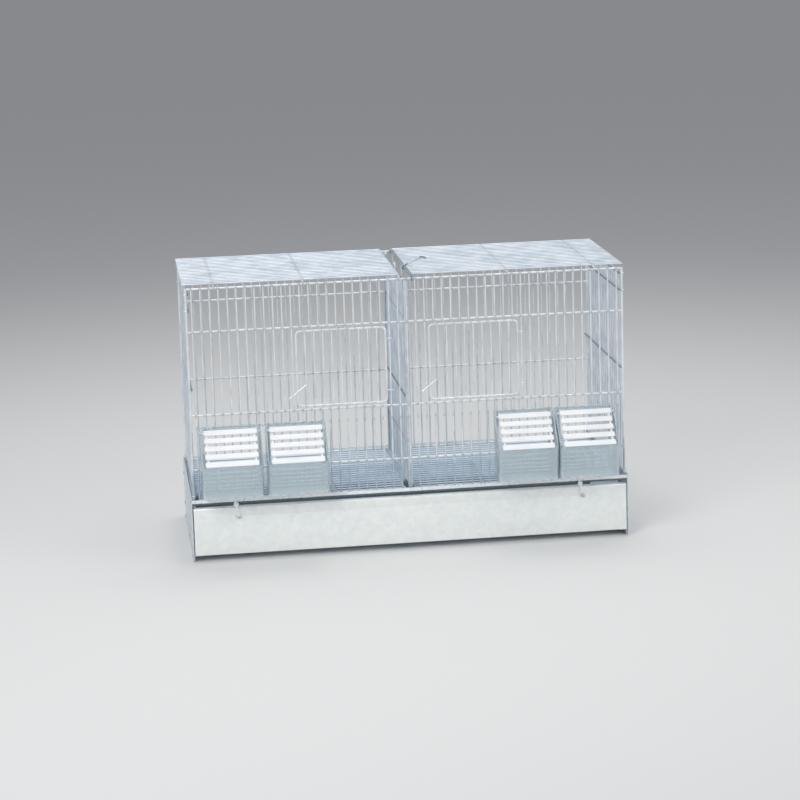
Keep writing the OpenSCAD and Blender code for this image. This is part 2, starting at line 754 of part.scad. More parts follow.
module feeder_box(x) {
  front = -feeder_deep - past;   // in front of the front wall, for the profiles below
  lip_z = feeder_rail_h + cross_r + rest_gap - feeder_low_h;
  lip_reach = front_cross_y + 2 * cross_r - (front_y + feeder_seat);
  hole_w = feeder_w - 2 * feeder_flange;
  hole_z = lip_z + feeder_t;
  color(clear_blue) at_feeder(x) {
    difference() {
      intersection() {
        feeder_walls(0);
        across(feeder_w + past) polygon([[0, 0], [front, 0],
          [front, feeder_front_h - past * tan(slope_angle)],
          [-feeder_ledge, feeder_back_h], [0, feeder_back_h]]);
      }
      intersection() {
        feeder_walls(feeder_t);
        across(feeder_w + past) polygon([[-feeder_t, feeder_t], [front, feeder_t],
          [front, feeder_back_h + past], [-feeder_ledge, feeder_back_h + past],
          [-feeder_ledge, feeder_back_h - feeder_t], [-feeder_t, feeder_back_h - feeder_t]]);
      }
      translate([-hole_w / 2, -feeder_t - past, hole_z])
        cube([hole_w, feeder_t + 2 * past, feeder_back_h - feeder_flange - hole_z]);
      on_slope() translate([0, slope_len - cover_pin_back, -cover_pin_deep]) rotate([0, 90, 0])
        cylinder(h = feeder_w + 2 * past, r = cover_pin_r + pin_play, center = true);
    }
    translate([-feeder_lip_w / 2, -feeder_t, lip_z])
      cube([feeder_lip_w, lip_reach + feeder_t, feeder_t]);
  }
}

// The outline of a slat from above, with round corners
module slat_outline(long) {
  r = slat_corner_r;
  translate([-cover_w / 2, r]) square([cover_w, long - 2 * r]);
  translate([r - cover_w / 2, 0]) square([cover_w - 2 * r, long]);
  for (x = [r - cover_w / 2, cover_w / 2 - r], y = [r, long - r]) translate([x, y]) circle(r);
}

// Slats with round edges, each with its lower edge raised, on two stiles that hang between
// the feeder's cheeks and carry the hinge pins
module feeder_cover(x) {
  slat_pitch = (cover_len + slat_gap) / cover_slats;
  slat_long = slat_pitch - slat_gap;
  slat_run = slat_long - slat_t;   // between the middles of a slat's two round edges
  pin_y = slope_len - cover_pin_back;
  stile_x = cover_w / 2 - stile_in - stile_w;
  stile_y = (feeder_t / cos(lean_angle) + rest_gap) / cos(slope_angle);   // past the front wall
  color(white) at_feeder(x) on_slope() {
    intersection() {
      for (i = [0:cover_slats - 1])
        translate([0, i * slat_pitch + slat_r - cover_lap, rest_gap + slat_rise + slat_r])
          across(cover_w + past) rotate(-atan2(slat_rise, slat_run))
            strap(norm([slat_run, slat_rise]), slat_t);
      for (i = [0:cover_slats - 1]) translate([0, i * slat_pitch - cover_lap - rest_gap, 0])
        linear_extrude(rest_gap + slat_rise + slat_t + past) slat_outline(slat_long + 2 * rest_gap);
    }
    for (side = [-1, 1]) on_side(side) {
      translate([stile_x, stile_y, rest_gap + slat_r - stile_t])
        cube([stile_w, pin_y + cover_ear_r - stile_y, stile_t]);
      translate([stile_x, pin_y - cover_ear_r, -cover_pin_deep])
        cube([stile_w, 2 * cover_ear_r, cover_pin_deep + rest_gap]);
      translate([stile_x, pin_y, -cover_pin_deep]) rotate([0, 90, 0]) {
        cylinder(h = stile_w, r = cover_ear_r);
        cylinder(h = feeder_w / 2 - rest_gap - stile_x, r = cover_pin_r);
      }
    }
  }
}

front_grille();
back_grille();
side_grille(-1);  // side_grille_left
side_grille(1);  // side_grille_right
roof_grille(-1);  // roof_grille_left
roof_grille(1);  // roof_grille_right
floor_grille(-1);  // floor_grille_left
floor_grille(1);  // floor_grille_right
base_side(-1);  // base_side_left
base_side(1);  // base_side_right
base_back();
front_rail();
base_rivets();
tray_runner(-1);  // tray_runner_left
tray_runner(1);  // tray_runner_right
tray_pan();
tray_front();
tray_catch(tray_catch_xs[0]);  // tray_catch_left
tray_catch(tray_catch_xs[1]);  // tray_catch_right
divider_guide_front();
divider_guide_back();
divider_grille();
divider_catch();
door_left();
door_right();
feeder_box(feeder_x[0]);  // feeder_box_1
feeder_box(feeder_x[1]);  // feeder_box_2
feeder_box(feeder_x[2]);  // feeder_box_3
feeder_box(feeder_x[3]);  // feeder_box_4
feeder_cover(feeder_x[0]);  // feeder_cover_1
feeder_cover(feeder_x[1]);  // feeder_cover_2
feeder_cover(feeder_x[2]);  // feeder_cover_3
feeder_cover(feeder_x[3]);  // feeder_cover_4
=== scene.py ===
# %% [markdown]
# # A canary breeding cage, dressed in Blender
#
# The cage is a box of welded wire grilles on a base of galvanised sheet. A divider halves it, a tray
# slides out under it, and four clear feeders with white louvred covers hang on its front.
#
# The shapes that carry and move the cage come as a finished frame. They could be modelled once more
# here, but then they might drift away from the working pieces, so the lesson keeps them. It rounds the
# sheet and plastic pieces, adds the small things that a metal shop leaves behind, and gives every
# piece a surface made of nodes.

# %% Load the frame
import json
import math

import bmesh
import bpy
from mathutils import Matrix, Vector
from mathutils.bvhtree import BVHTree


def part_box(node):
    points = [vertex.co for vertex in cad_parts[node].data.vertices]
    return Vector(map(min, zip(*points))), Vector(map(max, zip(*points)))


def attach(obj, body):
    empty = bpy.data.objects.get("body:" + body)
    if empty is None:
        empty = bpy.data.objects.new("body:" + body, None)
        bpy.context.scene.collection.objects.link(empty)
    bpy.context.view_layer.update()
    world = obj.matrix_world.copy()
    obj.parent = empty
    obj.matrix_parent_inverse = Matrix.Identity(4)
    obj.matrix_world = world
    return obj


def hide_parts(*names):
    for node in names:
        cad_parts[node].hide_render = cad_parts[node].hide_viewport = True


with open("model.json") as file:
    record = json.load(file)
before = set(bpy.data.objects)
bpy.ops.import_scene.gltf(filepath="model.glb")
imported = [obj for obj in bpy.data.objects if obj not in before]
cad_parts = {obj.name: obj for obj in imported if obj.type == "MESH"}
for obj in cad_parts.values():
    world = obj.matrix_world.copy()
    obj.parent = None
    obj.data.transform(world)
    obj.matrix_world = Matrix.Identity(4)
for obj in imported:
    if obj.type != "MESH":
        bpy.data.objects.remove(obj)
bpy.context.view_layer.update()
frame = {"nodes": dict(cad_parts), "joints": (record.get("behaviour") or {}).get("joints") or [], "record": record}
nodes = frame["nodes"]
joints = {joint["name"]: joint for joint in frame["joints"]}
body_of_node = {
    node: body
    for body, members in frame["record"]["behaviour"]["bodies"].items()
    for node in members
}
MM = 0.001

# %% [markdown]
# ## The camera
#
# The picture was taken from a little to the left of the cage, looking slightly down on it through a
# long lens. A camera can be placed by eye, but then the edges end up a few pixels off. The angles, the
# distance and the focal length below come from fitting a pinhole camera to the cage's corners. The
# picture is a cut from a larger one, so its middle isn't the lens's middle: a small shift puts that
# right. The camera's own axes are set as a matrix, which leaves no doubt about the roll.

# %% Camera
PICTURE_PX = 800
SENSOR_MM = 36.0
FOCAL_PX = 2519
LENS_MIDDLE_PX = (416.0, 307.3)
AZIMUTH, ELEVATION, ROLL = (math.radians(a) for a in (-7.35, 10.44, -1.61))
DISTANCE = 3384 * MM
AIM_X, AIM_Z = 12.5 * MM, 335.8 * MM
front_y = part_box("front_rail")[0].y
aim = Vector((AIM_X, front_y, AIM_Z))

back = Vector((
    math.sin(AZIMUTH) * math.cos(ELEVATION),
    -math.cos(AZIMUTH) * math.cos(ELEVATION),
    math.sin(ELEVATION),
))
level_right = (-back).cross(Vector((0, 0, 1))).normalized()
level_up = level_right.cross(-back)
right = level_right * math.cos(ROLL) + level_up * math.sin(ROLL)
up = level_up * math.cos(ROLL) - level_right * math.sin(ROLL)

camera_data = bpy.data.cameras.new("camera")
camera = bpy.data.objects.new("camera", camera_data)
bpy.context.scene.collection.objects.link(camera)
camera_data.sensor_width = SENSOR_MM
camera_data.lens = FOCAL_PX / PICTURE_PX * SENSOR_MM
camera_data.shift_x = 0.5 - LENS_MIDDLE_PX[0] / PICTURE_PX
camera_data.shift_y = LENS_MIDDLE_PX[1] / PICTURE_PX - 0.5
turn = Matrix((right, up, back)).transposed().to_4x4()
camera.matrix_world = Matrix.Translation(aim + back * DISTANCE) @ turn
bpy.context.scene.camera = camera
print("lens", round(camera_data.lens, 1), "mm, at", [round(c, 3) for c in camera.location])

# %% [markdown]
# ## Helpers for surfaces
#
# Blender paints a surface with a tree of nodes. A tree can be drawn by hand in the shader editor, or
# written with a call for each node and each link, which soon hides what the tree does. This class adds
# and links a node in one line, so that a later cell reads like the recipe of its finish. It comes
# first, because the paper of the studio floor needs it too.

# %% A helper for node trees
COLUMN_WIDTH = 180


class Wiring:
    """Adds nodes to a tree and links them, column by column."""

    def __init__(self, tree):
        self.tree = tree
        self.count = 0

    def node(self, kind, label="", **settings):
        """A new node of this kind, with its settings."""
        made = self.tree.nodes.new(kind)
        made.label = label
        made.location = (self.count * COLUMN_WIDTH, 0)
        self.count += 1
        for key, value in settings.items():
            setattr(made, key, value)
        return made

    def put(self, value, socket):
        """Links a socket to this input, or writes a plain value in it."""
        if isinstance(value, bpy.types.NodeSocket):
            self.tree.links.new(value, socket)
        else:
            socket.default_value = value

    def math(self, operation, first, second=0.0):
        """The result of a sum on two values."""
        made = self.node("ShaderNodeMath", operation=operation)
        self.put(first, made.inputs[0])
        self.put(second, made.inputs[1])
        return made.outputs[0]

    def noise(self, vector, scale, detail=2.0, roughness=0.5):
        """A cloudy value from 0 to 1."""
        made = self.node("ShaderNodeTexNoise")
        self.put(vector, made.inputs["Vector"])
        self.put(scale, made.inputs["Scale"])
        made.inputs["Detail"].default_value = detail
        made.inputs["Roughness"].default_value = roughness
        return made.outputs["Fac"]

    def stretch(self, value, low, high, to_low=0.0, to_high=1.0):
        """Maps low..high to to_low..to_high with soft ends."""
        made = self.node("ShaderNodeMapRange", interpolation_type="SMOOTHSTEP")
        for name, given in (("Value", value), ("From Min", low), ("From Max", high),
                            ("To Min", to_low), ("To Max", to_high)):
            self.put(given, made.inputs[name])
        return made.outputs["Result"]

    def within(self, value, low, high, fade):
        """1 between low and high, and 0 from fade outside of them."""
        off_middle = self.math("ABSOLUTE", self.math("SUBTRACT", value, (low + high) / 2))
        half = (high - low) / 2
        return self.stretch(off_middle, half, half + fade, 1.0, 0.0)

    def blend(self, share, first, second):
        """A colour between two colours. A Mix node has its colours at inputs 6 and 7."""
        made = self.node("ShaderNodeMix", data_type="RGBA")
        self.put(share, made.inputs[0])
        self.put(first, made.inputs[6])
        self.put(second, made.inputs[7])
        return made.outputs[2]

    def scaled(self, vector, factors):
        """The vector with each of its axes multiplied."""
        made = self.node("ShaderNodeVectorMath", operation="MULTIPLY")
        self.put(vector, made.inputs[0])
        made.inputs[1].default_value = factors
        return made.outputs[0]


print("a Wiring can do", [step for step in vars(Wiring) if not step.startswith("_")])

# %% [markdown]
# ### A helper for finishes
#
# Each finish of the cage is one Principled shader and what feeds it. A pattern could follow a UV map,
# but a map has seams, and hundreds of wires would have to be unfolded. Here it starts from Object
# coordinates, which on every piece are the cage's own metres, so it runs on from piece to piece.
# patched() lays tints over a colour in given ranges. The cage's finishes use it for painted shade and
# painted light, and for a front that is darker low down.

# %% A helper for finishes
BORDER_NOISE = 60.0


def colour(red, green, blue):
    """An opaque colour from three linear values."""
    return (red, green, blue, 1.0)


class Finish:
    """A material with one shader and the wiring that feeds it."""

    def __init__(self, name, metallic=0.0, **shader_values):
        self.material = bpy.data.materials.new(name)
        self.material.use_nodes = True
        self.w = Wiring(self.material.node_tree)
        self.shader = self.material.node_tree.nodes["Principled BSDF"]
        self.shader.inputs["Metallic"].default_value = metallic
        for socket, value in shader_values.items():
            self.shader.inputs[socket.replace("_", " ")].default_value = value
        coordinates = self.w.node("ShaderNodeTexCoord")
        self.position = coordinates.outputs["Object"]
        split = self.w.node("ShaderNodeSeparateXYZ")
        self.w.put(self.position, split.inputs[0])
        self.axes = {axis: split.outputs[axis] for axis in "XYZ"}

    def group(self, group, **values):
        """Places a node group with these values in its inputs."""
        made = self.w.node("ShaderNodeGroup", label=group.name, node_tree=group)
        for socket, value in values.items():
            self.w.put(value, made.inputs[socket.replace("_", " ")])
        return made.outputs

    def feed(self, **sockets):
        """Links these to the shader's sockets."""
        for socket, value in sockets.items():
            self.w.put(value, self.shader.inputs[socket.replace("_", " ")])

    def patched(self, base, patches):
        """The base colour with tints laid over it.

        A patch is its tint, how far it fades out, and the ranges of X, Y or Z, in metres, that it
        fills. A little noise moves its border by up to that fade.
        """
        for tint, fade, ranges in patches:
            border = self.w.noise(self.position, BORDER_NOISE, detail=3.0)
            wobble = self.w.math("MULTIPLY", border, fade)
            share = 1.0
            for axis, (low, high) in ranges.items():
                place = self.w.math("ADD", self.axes[axis], wobble)
                share = self.w.math("MULTIPLY", self.w.within(place, low, high, fade), share)
            base = self.w.blend(share, base, tint)
        return base

    def bump(self, height, depth, normal=None):
        """A bump of this depth in metres, on top of another if one is given."""
        made = self.w.node("ShaderNodeBump")
        made.inputs["Distance"].default_value = depth
        self.w.put(height, made.inputs["Height"])
        if normal is not None:
            self.w.put(normal, made.inputs["Normal"])
        return made.outputs[0]


print("a Finish can do", [step for step in vars(Finish) if not step.startswith("_")])

# %% [markdown]
# ## The studio floor
#
# The floor carries the cage and its shadow. Plain white paper would be the simplest, but white wires
# vanish in front of it, so the paper's colour carries a painted shade: pale round the cage and greyer
# towards the back, where the light on a studio sweep falls off. It is a wide disc from one bmesh
# operator, and the painted shade follows the distance from the middle.

# %% Floor
scene = bpy.context.scene
scene.view_settings.view_transform = "Standard"
FLOOR_RADIUS, FLOOR_SIDES = 40.0, 96
PAPER_NEAR, PAPER_FAR = colour(0.80, 0.795, 0.785), colour(0.52, 0.52, 0.53)
FADE_FROM, FADE_TO = 0.35, 2.6


def mesh_object(name, bm):
    """An object of this name with the bmesh's faces."""
    mesh = bpy.data.meshes.new(name)
    bm.to_mesh(mesh)
    bm.free()
    piece = bpy.data.objects.new(name, mesh)
    scene.collection.objects.link(piece)
    return piece


disc = bmesh.new()
bmesh.ops.create_circle(disc, cap_ends=True, radius=FLOOR_RADIUS, segments=FLOOR_SIDES)
floor = mesh_object("studio_floor", disc)
paper = Finish("studio_floor_paint", Roughness=0.7, Specular_IOR_Level=0.2)
reach = paper.w.node("ShaderNodeVectorMath", operation="LENGTH")
paper.w.put(paper.position, reach.inputs[0])
# The paper darkens with the distance from the middle: a painted shade for the light's falloff.
painted_falloff = paper.w.stretch(reach.outputs["Value"], FADE_FROM, FADE_TO)
paper.feed(Base_Color=paper.w.blend(painted_falloff, PAPER_NEAR, PAPER_FAR))
floor.data.materials.append(paper.material)
print("floor", 2 * FLOOR_RADIUS, "m across, grey from", FADE_TO, "m")

# %% [markdown]
# ## The world
#
# Bright metal and clear plastic show what stands round them, so the world matters as much as the lamps.
# One grey world could do both jobs, but a wall that is pale enough to look right in the zinc gives the
# cage too much light. The Light Path node parts the two: rays that the camera, a mirror or clear
# plastic sends out see a light grey wall, and the light that falls on the cage comes from a dimmer,
# slightly blue world.

# %% World
WALL, WALL_STRENGTH = colour(0.66, 0.68, 0.70), 1.0
SOFT_LIGHT, SOFT_LIGHT_STRENGTH = colour(0.93, 0.96, 1.0), 0.42
world = bpy.data.worlds.new("studio")
scene.world = world
world.use_nodes = True
world.node_tree.nodes.clear()
w = Wiring(world.node_tree)


def background(tint, strength):
    """A world shader of this colour and strength."""
    made = w.node("ShaderNodeBackground")
    w.put(tint, made.inputs["Color"])
    w.put(strength, made.inputs["Strength"])
    return made.outputs[0]


ray = w.node("ShaderNodeLightPath").outputs
looking = w.math("MAXIMUM", ray["Is Camera Ray"], ray["Is Glossy Ray"])
looking = w.math("MAXIMUM", looking, ray["Is Transmission Ray"])
mix = w.node("ShaderNodeMixShader")
w.put(looking, mix.inputs["Fac"])
w.put(background(SOFT_LIGHT, SOFT_LIGHT_STRENGTH), mix.inputs[1])
w.put(background(WALL, WALL_STRENGTH), mix.inputs[2])
w.put(mix.outputs[0], w.node("ShaderNodeOutputWorld").inputs["Surface"])
print("world lights at", SOFT_LIGHT_STRENGTH, "and is seen at", WALL_STRENGTH)

# %% [markdown]
# ## The lamps
#
# Small lamps would draw hard lines of light along every wire. Three large discs give the soft light of
# a product picture: one at the front left, a weaker one at the right that fills the shadows, and one
# over the roof. Each is turned to the middle of the cage by its own direction.

# %% Lamps
cage_middle = Vector((0, 0, 200 * MM))
# Each lamp: its name, its place, its size in metres and its watts
LAMPS = (
    ("key_lamp", Vector((-1.3, -1.9, 1.7)), 1.4, 28),
    ("fill_lamp", Vector((1.9, -1.4, 1.1)), 1.8, 13),
    ("top_lamp", Vector((0.1, 0.5, 2.4)), 1.8, 18),
)
for name, place, size, watts in LAMPS:
    lamp_data = bpy.data.lights.new(name, "AREA")
    lamp_data.shape = "DISK"
    lamp_data.size = size
    lamp_data.energy = watts
    lamp = bpy.data.objects.new(name, lamp_data)
    scene.collection.objects.link(lamp)
    lamp.location = place
    lamp.rotation_euler = (cage_middle - place).to_track_quat("-Z", "Y").to_euler()
print("lamps", {name: watts for name, _, _, watts in LAMPS})

# %% [markdown]
# ## Node groups
#
# Zinc, sheet and plastic share a few effects: the grain of a zinc coat, the large crystals called
# spangle, the dull spots of spot welding, the scuffs of daily use, and dust. Each could be wired again
# in every material, but then a change has to be made many times. A node group is built once, with
# named inputs and outputs, and every material gives it its own values. Blender 4.5 makes its sockets
# with interface.new_socket.

# %% A helper for node groups
VECTOR, VALUE, COLOUR = "NodeSocketVector", "NodeSocketFloat", "NodeSocketColor"
COAT_OUTPUTS = {"Color": COLOUR, "Roughness": VALUE, "Height": VALUE}


def new_group(name, inputs, outputs):
    """A shader node group with these sockets; gives its wiring and its two ends too."""
    group = bpy.data.node_groups.new(name, "ShaderNodeTree")
    for in_out, sockets in (("INPUT", inputs), ("OUTPUT", outputs)):
        for socket, kind in sockets.items():
            group.interface.new_socket(name=socket, in_out=in_out, socket_type=kind)
    wiring = Wiring(group)
    ends_in = wiring.node("NodeGroupInput")
    ends_out = wiring.node("NodeGroupOutput")
    print("group", name, "gives", list(outputs))
    return group, wiring, ends_in.outputs, ends_out.inputs


print("a coat gives", list(COAT_OUTPUTS))

# %% [markdown]
# ### Zinc coat
#
# Zinc that is laid on in a bath is nearly white, with soft clouds of blue-grey and a fine grain. One
# noise can't be both, so two do it: a broad one for the clouds, and a fine one for the grain, which
# also drives the bump.

# %% Zinc coat group
CLOUD_EDGES = (0.35, 0.70)
CLOUD_SHARE, GRAIN_SHARE = 0.6, 0.4
zinc_coat, w, given, result = new_group(
    "zinc_coat",
    {"Position": VECTOR, "Bright": COLOUR, "Dull": COLOUR, "Cloud Scale": VALUE,
     "Grain Scale": VALUE, "Smoothest": VALUE, "Roughest": VALUE},
    COAT_OUTPUTS,
)
clouds = w.noise(given["Position"], given["Cloud Scale"], detail=3.0)
grain = w.noise(given["Position"], given["Grain Scale"], detail=2.0, roughness=0.6)
cloudy = w.stretch(clouds, *CLOUD_EDGES)
w.put(w.blend(cloudy, given["Bright"], given["Dull"]), result["Color"])
mixed = w.math(
    "ADD", w.math("MULTIPLY", cloudy, CLOUD_SHARE), w.math("MULTIPLY", grain, GRAIN_SHARE)
)
w.put(w.stretch(mixed, 0.1, 0.9, given["Smoothest"], given["Roughest"]), result["Roughness"])
w.put(grain, result["Height"])

# %% [markdown]
# ### Spangle
#
# On galvanised sheet the zinc sets in crystals a few millimetres wide. Noise alone has no borders, so a
# Voronoi pattern gives each crystal its own shade, and a noise on the coordinates breaks its straight
# edges.

# %% Spangle group
WOBBLES_PER_CRYSTAL = 1.7
WOBBLE = 4 * MM
BROAD_CLOUDS = 9.0
CRYSTAL_SHARE, BROAD_SHARE = 0.55, 0.55
spangle, w, given, result = new_group(
    "spangle",
    {"Position": VECTOR, "Bright": COLOUR, "Dull": COLOUR, "Crystals per Metre": VALUE,
     "Smoothest": VALUE, "Roughest": VALUE},
    COAT_OUTPUTS,
)
wobble = w.node("ShaderNodeTexNoise")
w.put(given["Position"], wobble.inputs["Vector"])
wobble_scale = w.math("MULTIPLY", given["Crystals per Metre"], WOBBLES_PER_CRYSTAL)
w.put(wobble_scale, wobble.inputs["Scale"])
pushed = w.node("ShaderNodeVectorMath", operation="MULTIPLY_ADD")
w.put(wobble.outputs["Color"], pushed.inputs[0])
pushed.inputs[1].default_value = (WOBBLE, WOBBLE, WOBBLE)
w.put(given["Position"], pushed.inputs[2])
crystal = w.node("ShaderNodeTexVoronoi", feature="F1")
w.put(pushed.outputs[0], crystal.inputs["Vector"])
w.put(given["Crystals per Metre"], crystal.inputs["Scale"])
shade = w.node("ShaderNodeSeparateColor")
w.put(crystal.outputs["Color"], shade.inputs[0])
broad = w.noise(given["Position"], BROAD_CLOUDS, detail=2.0)
tone = w.math(
    "ADD", w.math("MULTIPLY", shade.outputs[0], CRYSTAL_SHARE), w.math("MULTIPLY", broad, BROAD_SHARE)
)
w.put(w.blend(w.stretch(tone, 0.15, 0.95), given["Bright"], given["Dull"]), result["Color"])
rough = w.stretch(shade.outputs[1], 0.0, 1.0, given["Smoothest"], given["Roughest"])
w.put(rough, result["Roughness"])
w.put(shade.outputs[2], result["Height"])

# %% [markdown]
# ### Weld marks
#
# Wires are spot welded where they cross, and the current leaves a dull, faintly brown spot. Spots could
# be painted one by one, but there are about a thousand. The bars stand at even spaces and the cross
# wires at a few known levels, so a spot is where both are near. The group takes the coordinate across
# the bars, the one along them, and up to six levels.

# %% Weld marks group
LEVELS = 6
SPOT, SPOT_CORE = 3.2 * MM, 0.8 * MM
weld_marks, w, given, result = new_group(
    "weld_marks",
    {"Across": VALUE, "Along": VALUE, "Spacing": VALUE, "First Bar": VALUE,
     **{f"Level {i + 1}": VALUE for i in range(LEVELS)}},
    {"Mask": VALUE},
)
from_bar = w.math("ABSOLUTE", w.math("SUBTRACT", given["Across"], given["First Bar"]))
half_space = w.math("MULTIPLY", given["Spacing"], 0.5)
in_space = w.math("MODULO", w.math("ADD", from_bar, half_space), given["Spacing"])
off_bar = w.math("ABSOLUTE", w.math("SUBTRACT", in_space, half_space))
off_level = w.math("ABSOLUTE", w.math("SUBTRACT", given["Along"], given["Level 1"]))
for i in range(1, LEVELS):
    other = w.math("ABSOLUTE", w.math("SUBTRACT", given["Along"], given[f"Level {i + 1}"]))
    off_level = w.math("MINIMUM", off_level, other)
near_bar = w.stretch(off_bar, SPOT_CORE, SPOT, 1.0, 0.0)
near_level = w.stretch(off_level, SPOT_CORE, SPOT, 1.0, 0.0)
w.put(w.math("MULTIPLY", near_bar, near_level), result["Mask"])

# %% [markdown]
# ### Scuffs
#
# Wiping, carrying and the tray's own slides leave thin streaks on sheet. Single scratches could be
# drawn as curves, but one scratch is never noticed. A noise that is stretched many times along one axis
# and cut off high gives a whole crowd of them, once from side to side and once upright, and a broad
# noise leaves bare patches between.

# %% Scuffs group
LYING, UPRIGHT = (0.06, 1.0, 1.0), (1.0, 1.0, 0.08)
PATCH_SCALE = 14.0
scuffs, w, given, result = new_group(
    "scuffs", {"Position": VECTOR, "Scale": VALUE}, {"Mask": VALUE, "Height": VALUE}
)
lying, upright = (
    w.noise(w.scaled(given["Position"], direction), given["Scale"], detail=4.0, roughness=0.7)
    for direction in (LYING, UPRIGHT)
)
patches = w.stretch(w.noise(given["Position"], PATCH_SCALE, detail=1.0), 0.45, 0.65)
streaks = w.math("MAXIMUM", w.stretch(lying, 0.62, 0.72), w.stretch(upright, 0.64, 0.74))
w.put(w.math("MULTIPLY", streaks, patches), result["Mask"])
w.put(streaks, result["Height"])

# %% [markdown]
# ### Dust
#
# Seed husk and dust lie on whatever looks up. Loose grains would be far too many shapes, so dust is a
# mask for a paler tint: strong where a face's normal points up, none on a wall, and broken by a noise.

# %% Dust group
DUST_SCALE = 45.0
dust, w, given, result = new_group("dust", {"Position": VECTOR, "Amount": VALUE}, {"Mask": VALUE})
facing = w.node("ShaderNodeNewGeometry")
upward = w.node("ShaderNodeSeparateXYZ")
w.put(facing.outputs["Normal"], upward.inputs[0])
level_face = w.stretch(upward.outputs["Z"], 0.55, 1.0)
specks = w.noise(given["Position"], DUST_SCALE, detail=4.0, roughness=0.65)
settled = w.math("MULTIPLY", level_face, w.stretch(specks, 0.35, 0.75))
w.put(w.math("MULTIPLY", settled, given["Amount"]), result["Mask"])

# %% [markdown]
# ### Moulded plastic
#
# A moulded skin is smooth, with a slow ripple where the melt flowed, and duller where it has been
# handled. A plain roughness would look like painted wood. One noise, drawn out a little, is the
# ripple, a second is the handling, and a very fine third keeps the bump from looking like glass.

# %% Moulding group
FLOW_STRETCH, FLOW_SCALE, FLOW_SHARE = (1.0, 0.35, 0.35), 60.0, 0.85
FINE_SCALE, FINE_SHARE = 900.0, 0.15
TOUCH_SCALE = 26.0
moulding, w, given, result = new_group(
    "moulding",
    {"Position": VECTOR, "Clean": COLOUR, "Handled": COLOUR, "Smoothest": VALUE, "Roughest": VALUE},
    COAT_OUTPUTS,
)
flow = w.noise(w.scaled(given["Position"], FLOW_STRETCH), FLOW_SCALE, detail=1.0)
touch = w.noise(given["Position"], TOUCH_SCALE, detail=4.0, roughness=0.6)
fine = w.noise(given["Position"], FINE_SCALE, detail=1.0)
handled = w.stretch(touch, 0.45, 0.75)
w.put(w.blend(handled, given["Clean"], given["Handled"]), result["Color"])
rough = w.stretch(touch, 0.25, 0.80, given["Smoothest"], given["Roughest"])
w.put(rough, result["Roughness"])
ripple = w.math("ADD", w.math("MULTIPLY", flow, FLOW_SHARE), w.math("MULTIPLY", fine, FINE_SHARE))
w.put(ripple, result["Height"])

# %% [markdown]
# ## Galvanised wire
#
# The grilles are soft steel wire with a coat of zinc, nearly white, cloudy, and dull where the welding
# burnt it. A fully metallic shader would be the textbook answer, but thin wires then turn as dark as
# the room behind them. Old zinc is half metal and half white bloom, and so is this finish. Its colour
# passes through the weld marks, then the patches, which paint shade and light on it, and then the dust.

# %% Galvanised wire
ZINC_BRIGHT, ZINC_DULL = colour(0.86, 0.90, 0.92), colour(0.66, 0.72, 0.76)
WELD_TINT = colour(0.42, 0.42, 0.42)
DUST_TINT = colour(0.73, 0.73, 0.71)
WIRE_METALLIC = 0.45
WIRE_GRAIN = 0.04 * MM
NO_LEVEL = 10.0


def galvanised_wire(
    name, across="X", along="Z", spacing=1.0, first_bar=0.5, levels=(),
    bright=ZINC_BRIGHT, dull=ZINC_DULL, patches=(),
):
    """Wire with weld marks where its bars cross the given levels, and none without levels."""
    finish = Finish(name, metallic=WIRE_METALLIC)
    zinc = finish.group(
        zinc_coat, Position=finish.position, Bright=bright, Dull=dull,
        Cloud_Scale=38.0, Grain_Scale=1400.0, Smoothest=0.30, Roughest=0.48,
    )
    padded = list(levels) + [NO_LEVEL] * (LEVELS - len(levels))
    spots = finish.group(
        weld_marks, Across=finish.axes[across], Along=finish.axes[along], Spacing=spacing,
        First_Bar=first_bar, **{f"Level_{i + 1}": z for i, z in enumerate(padded)},
    )["Mask"]
    grey = finish.group(dust, Position=finish.position, Amount=0.30)["Mask"]
    marked = finish.w.blend(finish.w.math("MULTIPLY", spots, 0.45), zinc["Color"], WELD_TINT)
    finish.feed(
        Base_Color=finish.w.blend(grey, finish.patched(marked, patches), DUST_TINT),
        Roughness=finish.w.math("ADD", zinc["Roughness"], finish.w.math("MULTIPLY", spots, 0.15)),
        Normal=finish.bump(zinc["Height"], WIRE_GRAIN),
    )
    print("finish", name, "with", len(levels), "weld levels")
    return finish.material


bead_zinc = galvanised_wire(
    "bead_zinc", bright=colour(0.74, 0.78, 0.80), dull=colour(0.52, 0.55, 0.57)
)

# %% [markdown]
# ## Galvanised sheet
#
# The base, the tray and the divider's guides are folded from galvanised sheet. Its spangle could be an
# even grey at this distance, but seen from the side the crystals are what tells zinc from paint. Two
# bumps lie on each other, the crystals' and the scuffs'.

# %% Galvanised sheet
CRYSTAL_BUMP, SCUFF_BUMP = 0.03 * MM, 0.02 * MM


def galvanised_sheet(name, bright, dull, crystals, smoothest, roughest, metallic, patches=()):
    """Sheet with spangle, scuffs and a little dust."""
    finish = Finish(name, metallic=metallic)
    zinc = finish.group(
        spangle, Position=finish.position, Bright=bright, Dull=dull,
        Crystals_per_Metre=crystals, Smoothest=smoothest, Roughest=roughest,
    )
    worn = finish.group(scuffs, Position=finish.position, Scale=240.0)
    grey = finish.group(dust, Position=finish.position, Amount=0.35)["Mask"]
    streaked = finish.w.math("MULTIPLY", worn["Mask"], 0.25)
    scuffed = finish.w.blend(streaked, zinc["Color"], WELD_TINT)
    crystals_bump = finish.bump(zinc["Height"], CRYSTAL_BUMP)
    finish.feed(
        Base_Color=finish.w.blend(grey, finish.patched(scuffed, patches), DUST_TINT),
        Roughness=finish.w.math("ADD", zinc["Roughness"], finish.w.math("MULTIPLY", grey, 0.3)),
        Normal=finish.bump(worn["Height"], SCUFF_BUMP, crystals_bump),
    )
    print("finish", name, "with", len(patches), "patches")
    return finish.material


sheet = galvanised_sheet(
    "base_zinc", colour(0.72, 0.77, 0.81), colour(0.57, 0.63, 0.68),
    crystals=170.0, smoothest=0.28, roughest=0.46, metallic=0.6,
)

